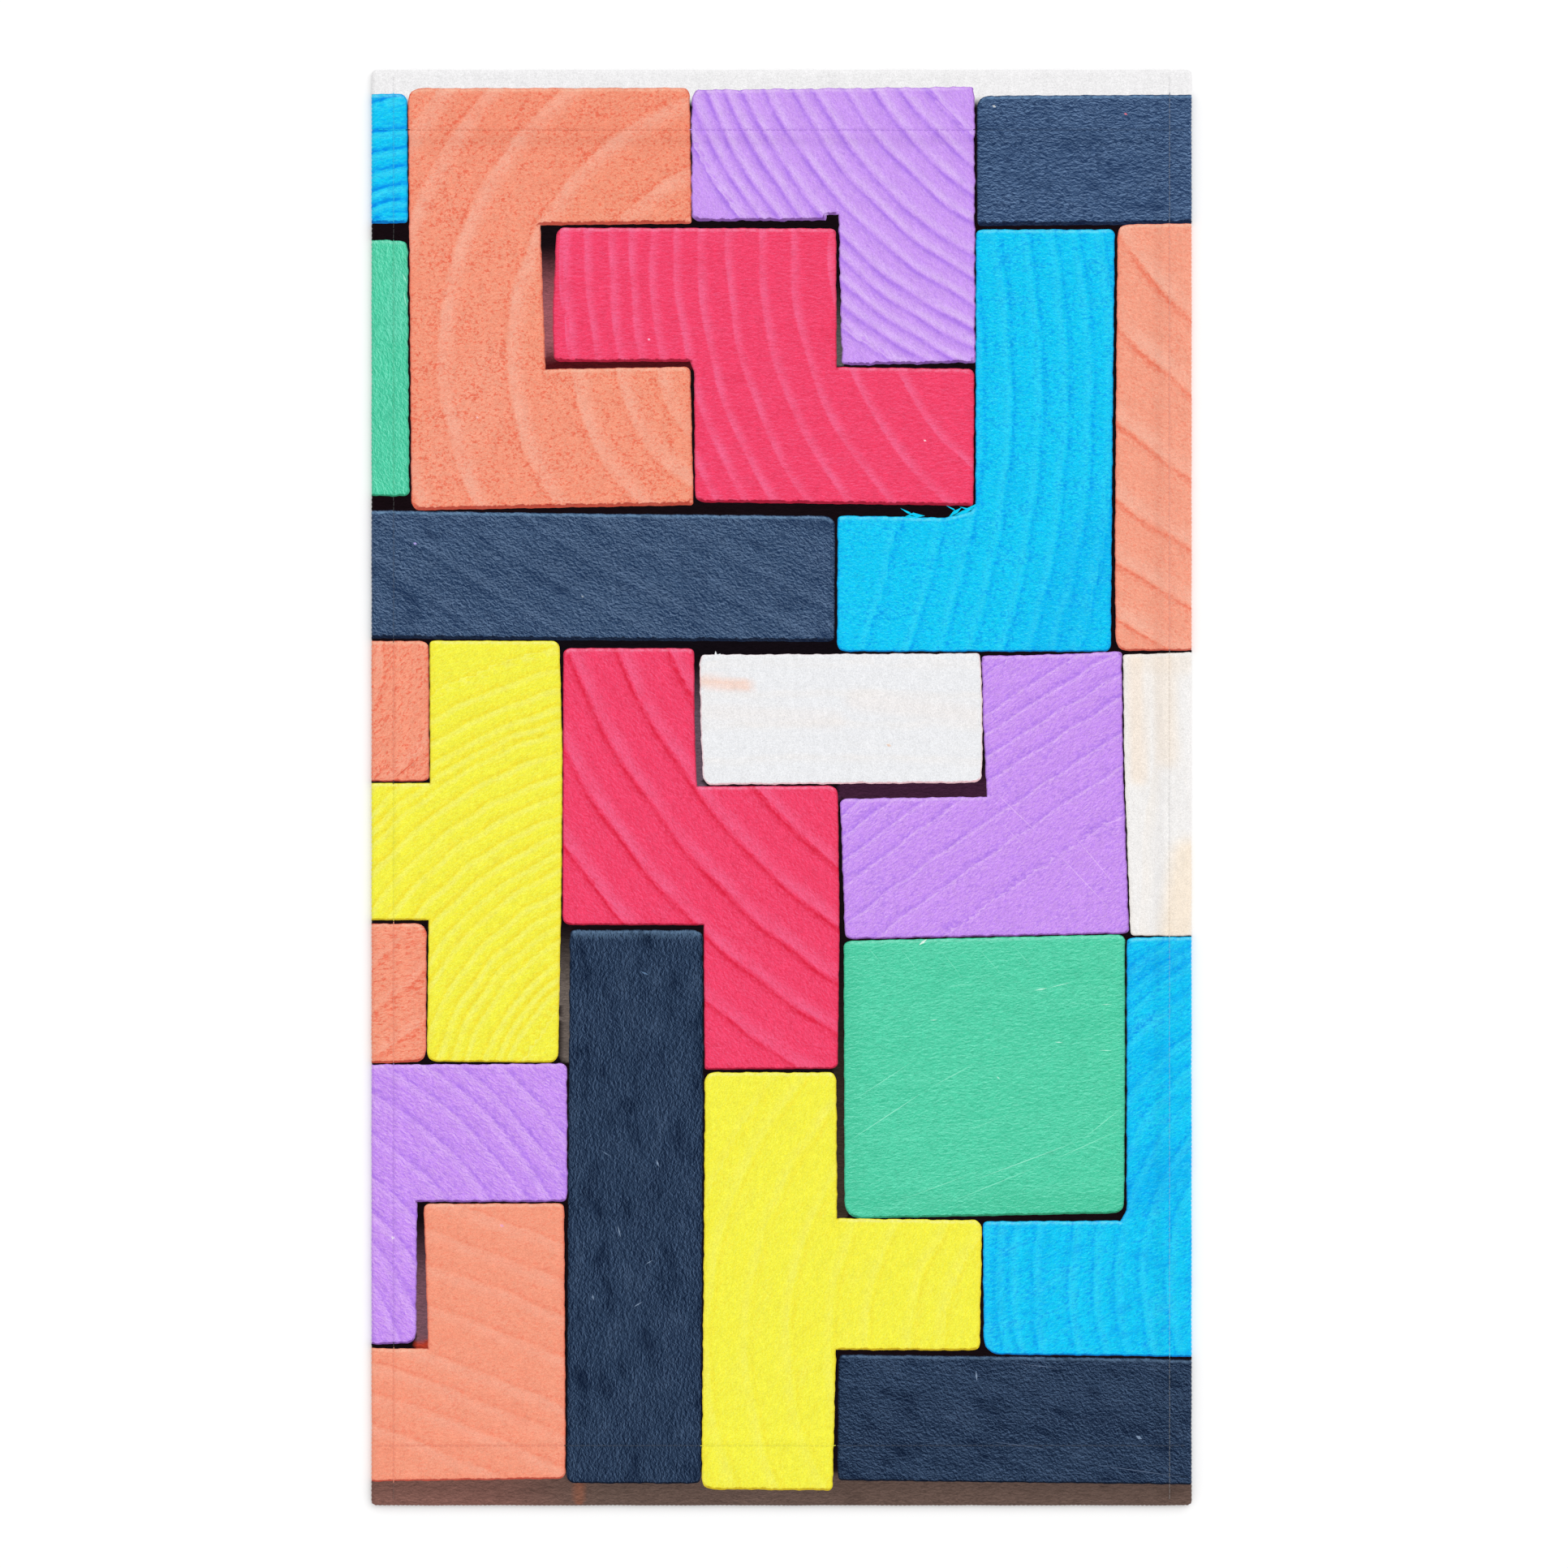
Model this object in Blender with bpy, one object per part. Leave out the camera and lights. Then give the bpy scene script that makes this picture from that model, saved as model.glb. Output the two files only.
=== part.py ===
"""A printed hand towel lying flat with its printed face up.

The cloth is two yarn systems woven into one: a sheared polyester pile on the face, which takes the print, and
white cotton on the back. All four edges are turned under twice and held by a lockstitch seam. The side hems are
narrow and the end hems are wide. The cloth rises over the hems and lies on the ground between them.

Frame: origin at the centre of the underside, +X across the towel, +Y towards its top end, +Z up through the
printed face. All sizes are in metres.
"""

import math

import bmesh
import bpy
from mathutils import Matrix, Vector

# Finished size, and where each seam runs, measured in from the edge that it holds.
TOWEL_WIDTH = 0.4064
TOWEL_LENGTH = 0.7112
SIDE_SEAM = 0.0112
END_SEAM = 0.0300

# The cloth, and the stack of plies in a hem.
FACE_THICKNESS = 0.0010
BACK_THICKNESS = 0.0012
PLY_THICKNESS = 0.0007
GAP = 0.0003  # clearance between neighbouring layers

# The turned edge.
LIP_THICKNESS = 0.0010  # face cloth wrapped round the outside of the fold
LIP_STEP = 0.0002  # the face's underside climbs from the lip to the hem over this width
SHOULDER = 0.0009  # radius of the fold's upper corner
SHOULDER_STEPS = 3
FOLD_PAST_SEAM = 0.0015  # the inner fold lies this far inside the seam
FOLD_STEPS = 6
TIGHT_ZONE = 0.0012  # the plies are pressed together this far outside the seam
HEM_SLOPE = 0.0060  # the cloth comes down from the hem to the ground over this width

# The seams.
THREAD_RADIUS = 0.00015
THREAD_CLEARANCE = 0.00015  # between a thread and what it lies on
GROOVE_DEPTH = 0.0007
GROOVE_FLOOR = 0.0006  # half width at the bottom of the groove
GROOVE_MOUTH = 0.0010  # half width at the top
SEAM_END = 0.0030  # a seam starts and stops this far from the towel's edge
CROSSING_RAMP = 0.0030  # an end seam climbs over a side seam within this distance
CROSSING_TOP = 0.0006  # and stays up this far on each side of it

HALF_WIDTH = TOWEL_WIDTH / 2
HALF_LENGTH = TOWEL_LENGTH / 2
HEM_HEIGHT = 2 * PLY_THICKNESS + GAP
BACK_RISE = HEM_HEIGHT + GAP
FACE_BASE = BACK_THICKNESS + GAP
FACE_TOP = FACE_BASE + FACE_THICKNESS
INNER_START = LIP_THICKNESS + LIP_STEP + GAP  # what lies inside the lip starts here

COLOURS = {
    "printed_pile": ((0.86, 0.33, 0.20, 1.0), 0.92),
    "white_cotton": ((0.90, 0.89, 0.86, 1.0), 0.95),
    "white_thread": ((0.93, 0.92, 0.90, 1.0), 0.60),
}


def clear_scene():
    for old in list(bpy.data.objects):
        bpy.data.objects.remove(old, do_unlink=True)


def make_material(name):
    colour, roughness = COLOURS[name]
    material = bpy.data.materials.new(name)
    material.use_nodes = True
    shader = material.node_tree.nodes["Principled BSDF"]
    shader.inputs["Base Color"].default_value = colour
    shader.inputs["Roughness"].default_value = roughness
    shader.inputs["Metallic"].default_value = 0.0
    material.diffuse_color = colour
    return material


def add_object(name, bm, material):
    bmesh.ops.recalc_face_normals(bm, faces=bm.faces)
    mesh = bpy.data.meshes.new(name)
    bm.to_mesh(mesh)
    bm.free()
    mesh.materials.append(material)
    obj = bpy.data.objects.new(name, mesh)
    bpy.context.scene.collection.objects.link(obj)
    return obj


# The shape of the cloth, as functions of how far a point lies in from an edge.


def raised(inset, seam):
    """1 where the cloth lies on the hem, 0 where it lies on the ground."""
    plateau = seam + FOLD_PAST_SEAM + GAP
    return min(1.0, max(0.0, 1.0 - (inset - plateau) / HEM_SLOPE))


def groove(inset, seam):
    """How far the seam pulls the face down, from 0 to 1."""
    return min(1.0, max(0.0, (GROOVE_MOUTH - abs(inset - seam)) / (GROOVE_MOUTH - GROOVE_FLOOR)))


def shoulder_drop(inset):
    """How far the rounded edge lies below the face."""
    if inset >= SHOULDER:
        return 0.0
    return SHOULDER - math.sqrt(SHOULDER**2 - (SHOULDER - inset) ** 2)


def insets(x, y):
    return HALF_WIDTH - abs(x), HALF_LENGTH - abs(y)


def cloth_rise(x, y):
    side, end = insets(x, y)
    return BACK_RISE * max(raised(side, SIDE_SEAM), raised(end, END_SEAM))


def face_upper(x, y):
    side, end = insets(x, y)
    pulled = GROOVE_DEPTH * max(groove(side, SIDE_SEAM), groove(end, END_SEAM))
    return cloth_rise(x, y) + FACE_TOP - pulled - shoulder_drop(min(side, end))


def face_lower(x, y):
    if min(insets(x, y)) < LIP_THICKNESS + LIP_STEP / 2:
        return GAP
    return cloth_rise(x, y) + FACE_BASE


def back_upper(x, y):
    return cloth_rise(x, y) + BACK_THICKNESS


def grid_lines(half, seam, steps):
    """Grid lines across the towel, at these steps in from both edges and where the cloth bends."""
    plateau = seam + FOLD_PAST_SEAM + GAP
    inner = [half - s for s in steps + [plateau, plateau + HEM_SLOPE]]
    return [-v for v in inner] + inner[::-1]


def sheet_solid(name, material, xs, ys, upper, lower):
    """A closed sheet between the heights lower(x, y) and upper(x, y), over the grid lines xs and ys."""
    bm = bmesh.new()
    under, over = ([[bm.verts.new((x, y, height(x, y))) for x in xs] for y in ys] for height in (lower, upper))
    for j in range(len(ys) - 1):
        for i in range(len(xs) - 1):
            mirrored = (xs[i] + xs[i + 1]) * (ys[j] + ys[j + 1]) < 0
            cells = [(j, i), (j, i + 1), (j + 1, i + 1), (j + 1, i)]
            if mirrored:
                cells = cells[1:] + cells[:1]
            for a, b, c in ((0, 1, 2), (0, 2, 3)):
                corners = [cells[a], cells[b], cells[c]]
                bm.faces.new([over[r][k] for r, k in corners])
                bm.faces.new([under[r][k] for r, k in reversed(corners)])
    last_row, last_column = len(ys) - 1, len(xs) - 1
    rim = [(0, i) for i in range(last_column)]
    rim += [(j, last_column) for j in range(last_row)]
    rim += [(last_row, i) for i in range(last_column, 0, -1)]
    rim += [(j, 0) for j in range(last_row, 0, -1)]
    for here, there in zip(rim, rim[1:] + rim[:1]):
        (r, k), (s, m) = here, there
        bm.faces.new([under[r][k], under[s][m], over[s][m], over[r][k]])
    return add_object(name, bm, material)


def seam_steps(seam):
    return [seam + side * width for side, width in zip((-1, -1, 1, 1), (GROOVE_MOUTH, GROOVE_FLOOR) * 2)]


def printed_face(material):
    """The printed pile, pulled down along each seam and wrapped over the outer edge of every hem."""
    rounding = [SHOULDER * (1 - math.cos(math.pi / 2 * k / SHOULDER_STEPS)) for k in range(SHOULDER_STEPS + 1)]
    lip = [LIP_THICKNESS, LIP_THICKNESS + LIP_STEP]
    lines = [
        grid_lines(half, seam, rounding + lip + sorted(seam_steps(seam)))
        for half, seam in ((HALF_WIDTH, SIDE_SEAM), (HALF_LENGTH, END_SEAM))
    ]
    return sheet_solid("printed_face", material, *lines, face_upper, face_lower)


def cotton_back(material):
    """The white cotton side of the cloth."""
    lines = [
        grid_lines(half, seam, [INNER_START]) for half, seam in ((HALF_WIDTH, SIDE_SEAM), (HALF_LENGTH, END_SEAM))
    ]
    return sheet_solid("cotton_back", material, *lines, back_upper, cloth_rise)


def hem_outline(seam):
    """A hem's section as (inset, height): two plies joined at the inner fold, open to the outside, with a groove
    under the seam for the bobbin thread."""
    inner = seam + FOLD_PAST_SEAM
    radius = HEM_HEIGHT / 2
    slit_end = seam - TIGHT_ZONE
    fold = [
        (inner - radius + radius * math.cos(a), radius + radius * math.sin(a))
        for a in (math.pi * (k / FOLD_STEPS - 0.5) for k in range(FOLD_STEPS + 1))
    ]
    bobbin_groove = [
        (seam - GROOVE_FLOOR, 0.0),
        (seam - THREAD_RADIUS, GROOVE_DEPTH),
        (seam + THREAD_RADIUS, GROOVE_DEPTH),
        (seam + GROOVE_FLOOR, 0.0),
    ]
    slit = [(INNER_START, PLY_THICKNESS + GAP), (slit_end, PLY_THICKNESS + GAP)]
    slit += [(slit_end, PLY_THICKNESS), (INNER_START, PLY_THICKNESS)]
    return [(INNER_START, 0.0)] + bobbin_groove + fold + [(INNER_START, HEM_HEIGHT)] + slit


def hem(name, material, seam, half_across, half_run, turn):
    """One hem: its outline swept along the edge, with the towel's edge half_across from the centre, then turned
    about the centre of the towel."""
    bm = bmesh.new()
    corners = [bm.verts.new((half_across - inset, -half_run, height)) for inset, height in hem_outline(seam)]
    section = bm.faces.new(corners)
    swept = bmesh.ops.extrude_face_region(bm, geom=[section])
    moved = [item for item in swept["geom"] if isinstance(item, bmesh.types.BMVert)]
    bmesh.ops.translate(bm, vec=Vector((0, 2 * half_run, 0)), verts=moved)
    bmesh.ops.rotate(bm, matrix=Matrix.Rotation(turn, 3, "Z"), verts=bm.verts)
    return add_object(name, bm, material)


def thread(name, material, points, turn):
    """A seam's thread as a tube through these points, turned about the centre of the towel."""
    curve = bpy.data.curves.new(name, "CURVE")
    curve.dimensions = "3D"
    curve.bevel_depth = THREAD_RADIUS
    curve.bevel_resolution = 1
    curve.use_fill_caps = True
    spline = curve.splines.new("POLY")
    spline.points.add(len(points) - 1)
    for point, place in zip(spline.points, points):
        point.co = (*(Matrix.Rotation(turn, 3, "Z") @ Vector(place)), 1.0)
    curve.materials.append(material)
    obj = bpy.data.objects.new(name, curve)
    bpy.context.scene.collection.objects.link(obj)
    return obj


def straight_run(across, reach, height):
    return [(across, -reach, height), (across, reach, height)]


def run_over_crossings(across, reach, crossing, height):
    """A straight run that climbs over another thread, which it meets this far each side of its middle."""
    step = 2 * THREAD_RADIUS + THREAD_CLEARANCE
    climb = [(-CROSSING_RAMP, 0.0), (-CROSSING_TOP, step), (CROSSING_TOP, step), (CROSSING_RAMP, 0.0)]
    humps = [(across, centre + along, height + lift) for centre in (-crossing, crossing) for along, lift in climb]
    return [(across, -reach, height), *humps, (across, reach, height)]


def build():
    clear_scene()
    pile, cotton, sewing = (make_material(name) for name in COLOURS)
    printed_face(pile)
    cotton_back(cotton)

    needle_height = BACK_RISE + FACE_TOP - GROOVE_DEPTH + THREAD_CLEARANCE + THREAD_RADIUS
    bobbin_height = THREAD_RADIUS + THREAD_CLEARANCE
    side_reach, end_reach = HALF_LENGTH - SEAM_END, HALF_WIDTH - SEAM_END
    side_across, end_across = HALF_WIDTH - SIDE_SEAM, HALF_LENGTH - END_SEAM
    side_face_run = straight_run(side_across, side_reach, needle_height)
    end_face_run = run_over_crossings(end_across, end_reach, side_across, needle_height)
    side_hem_half = end_across - FOLD_PAST_SEAM - GAP
    end_hem_half = HALF_WIDTH - INNER_START

    quarter = math.pi / 2
    edges = (
        ("right", SIDE_SEAM, HALF_WIDTH, side_hem_half, side_face_run, 0 * quarter),
        ("top", END_SEAM, HALF_LENGTH, end_hem_half, end_face_run, 1 * quarter),
        ("left", SIDE_SEAM, HALF_WIDTH, side_hem_half, side_face_run, 2 * quarter),
        ("bottom", END_SEAM, HALF_LENGTH, end_hem_half, end_face_run, 3 * quarter),
    )
    for side, seam, half_across, hem_half, face_run, turn in edges:
        hem(f"{side}_hem", cotton, seam, half_across, hem_half, turn)
        thread(f"{side}_needle_thread", sewing, face_run, turn)
        under_run = straight_run(half_across - seam, hem_half - SEAM_END, bobbin_height)
        thread(f"{side}_bobbin_thread", sewing, under_run, turn)


build()
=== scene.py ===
"""The looks of a printed hand towel that lies flat with its printed face up.

The printed face is one sheet whose mesh is cut along the outlines of the printed wooden blocks, so that
each block's colour ends on a real edge of the mesh. Its shader draws the wood's growth rings, dark grains
and painted rims from values stored on the mesh, and the pile over them. The cotton back, the turned hems,
the stitches of every seam and the loose fibres along the edges are pieces of their own.

World units are metres. The print is laid out in millimetres from the towel's top left corner, x to the right
and y down, as it is read.
"""

import math
import random

import bmesh
import bpy
import numpy as np
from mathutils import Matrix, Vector
from mathutils.geometry import delaunay_2d_cdt


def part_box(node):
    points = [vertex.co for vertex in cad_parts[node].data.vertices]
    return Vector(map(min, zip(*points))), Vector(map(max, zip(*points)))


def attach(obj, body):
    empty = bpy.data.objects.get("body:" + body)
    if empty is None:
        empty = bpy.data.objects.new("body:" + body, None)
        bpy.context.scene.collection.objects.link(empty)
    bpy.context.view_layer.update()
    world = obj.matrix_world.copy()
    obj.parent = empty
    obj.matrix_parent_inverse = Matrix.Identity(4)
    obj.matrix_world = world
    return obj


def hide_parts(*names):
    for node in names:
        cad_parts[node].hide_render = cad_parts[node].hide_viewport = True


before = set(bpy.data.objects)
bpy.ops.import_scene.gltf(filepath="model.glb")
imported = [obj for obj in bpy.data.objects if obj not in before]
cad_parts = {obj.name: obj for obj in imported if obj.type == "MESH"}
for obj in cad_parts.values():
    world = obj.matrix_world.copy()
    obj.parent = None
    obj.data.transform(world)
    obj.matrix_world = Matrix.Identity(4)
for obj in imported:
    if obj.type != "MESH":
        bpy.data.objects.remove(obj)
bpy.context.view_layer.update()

MM = 0.001

# ---- What the frame says about the cloth ----

FACE_LOW, FACE_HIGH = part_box("printed_face")
HALF_WIDTH = FACE_HIGH[0]
HALF_LENGTH = FACE_HIGH[1]
HEM_TOP = FACE_HIGH[2]
GAP = FACE_LOW[2]
HEM_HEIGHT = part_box("top_hem")[1][2]
RISE = HEM_HEIGHT + GAP  # the cloth lies this much higher over a hem
FIELD_TOP = HEM_TOP - RISE


def middle(node, axis):
    low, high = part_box(node)
    return (low[axis] + high[axis]) / 2


SIDE_SEAM = HALF_WIDTH - middle("right_needle_thread", 0)
END_SEAM = HALF_LENGTH - middle("top_needle_thread", 1)
SIDE_FOLD = HALF_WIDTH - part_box("right_hem")[0][0]  # how far in each hem's inner fold lies
END_FOLD = HALF_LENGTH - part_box("top_hem")[0][1]
HEM_OUTER = HALF_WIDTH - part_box("right_hem")[1][0]

PRINT_WIDTH = 2 * HALF_WIDTH / MM

# ---- Inks ----
# Every colour is written as it should look, 0 to 255, and turned into how much light the cloth returns.

CLOTH_WHITE = 241
WHITE_ALBEDO = 0.80
VEIL = 0.004


def to_linear(value):
    value = value / 255
    return value / 12.92 if value <= 0.04045 else ((value + 0.055) / 1.055) ** 2.4


def ink(rgb):
    """How much light cloth of this colour returns, less the little that its sheen adds to every colour."""
    share = WHITE_ALBEDO / to_linear(CLOTH_WHITE)
    return np.array([max(to_linear(v) * share - VEIL, 0.0015) for v in rgb])


TONES = {
    # paint, the pale latewood bands, the dark grains, the shaded sides, the lit upper rim
    "orange": ((245, 158, 129), (246, 180, 157), (234, 114, 88), (158, 34, 32), (248, 200, 172)),
    "pale_orange": ((245, 165, 139), (246, 186, 164), (234, 118, 92), (168, 44, 36), (248, 204, 178)),
    "red": ((244, 72, 110), (246, 116, 158), (222, 42, 72), (118, 12, 32), (248, 150, 182)),
    "purple": ((206, 157, 244), (226, 196, 248), (176, 126, 234), (78, 28, 82), (230, 200, 250)),
    "deep_purple": ((205, 151, 243), (225, 186, 247), (174, 122, 233), (78, 28, 82), (230, 196, 249)),
    "blue": ((24, 206, 245), (80, 228, 250), (14, 160, 238), (10, 84, 170), (120, 232, 250)),
    "deep_blue": ((25, 205, 245), (78, 227, 250), (12, 144, 236), (8, 78, 164), (130, 230, 250)),
    "yellow": ((245, 243, 72), (246, 245, 134), (240, 214, 44), (176, 140, 20), (247, 246, 160)),
    "green": ((86, 210, 170), (124, 230, 196), (60, 184, 144), (34, 108, 70), (150, 236, 208)),
    "navy_light": ((68, 92, 127), (108, 134, 170), (34, 54, 88), (12, 18, 36), (120, 158, 196)),
    "navy": ((63, 85, 115), (102, 124, 154), (32, 50, 80), (12, 16, 30), (126, 162, 196)),
    "navy_dark": ((43, 59, 83), (78, 98, 126), (20, 30, 50), (10, 12, 22), (108, 136, 166)),
    "white_wood": ((238, 239, 242), (242, 236, 231), (226, 227, 231), (222, 150, 160), (246, 246, 247)),
    "tan_wood": ((243, 241, 240), (245, 235, 224), (234, 228, 221), (200, 190, 184), (246, 245, 244)),
}

# ---- The printed picture ----
# Wooden blocks, each with its corners as (x, y, rounding) in millimetres.

OFF = -9.0  # past the cloth's left edge
PAST = PRINT_WIDTH + 9.0  # past its right edge

# How a block's wood looks where its row says nothing else.
USUAL_WOOD = {
    "band": 0.6, "reach": 5.0, "line": 0.3, "after": 0.3, "specks": 0.5, "tooth": 0.5, "stretch": 1.6,
    "grain": 0.0, "mottle": 0.3, "side": 0.9, "wave": 0.14,
}


def block(name, tone, corners, rings, **wood):
    """One printed block.

    rings is (centre x, centre y, radii), the radii falling if the rings step the other way. band is how
    strongly the pale band inside each ring shows and reach how wide it is. line is the thin pale line on
    the ring itself and after the darker paint just outside it. specks and tooth are how strongly the dark
    grains and the raised grain show, stretch how much longer than wide they are and grain their direction
    in degrees. mottle is the broad cloudiness, side how much of the block's shaded side shows under its
    lower edges, and wave how uneven the outline is.
    """
    assert wood.keys() <= USUAL_WOOD.keys(), f"{name} has an unknown value"
    return {**USUAL_WOOD, **wood, "name": name, "tone": tone, "corners": corners, "rings": rings}


def every(start, stop, step, seed):
    """Ring radii from start to stop, a step apart, each a little off."""
    source = random.Random(seed)
    radii = []
    radius = start
    while radius < stop:
        radii.append(radius)
        radius += step * source.uniform(0.78, 1.22)
    return radii


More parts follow.
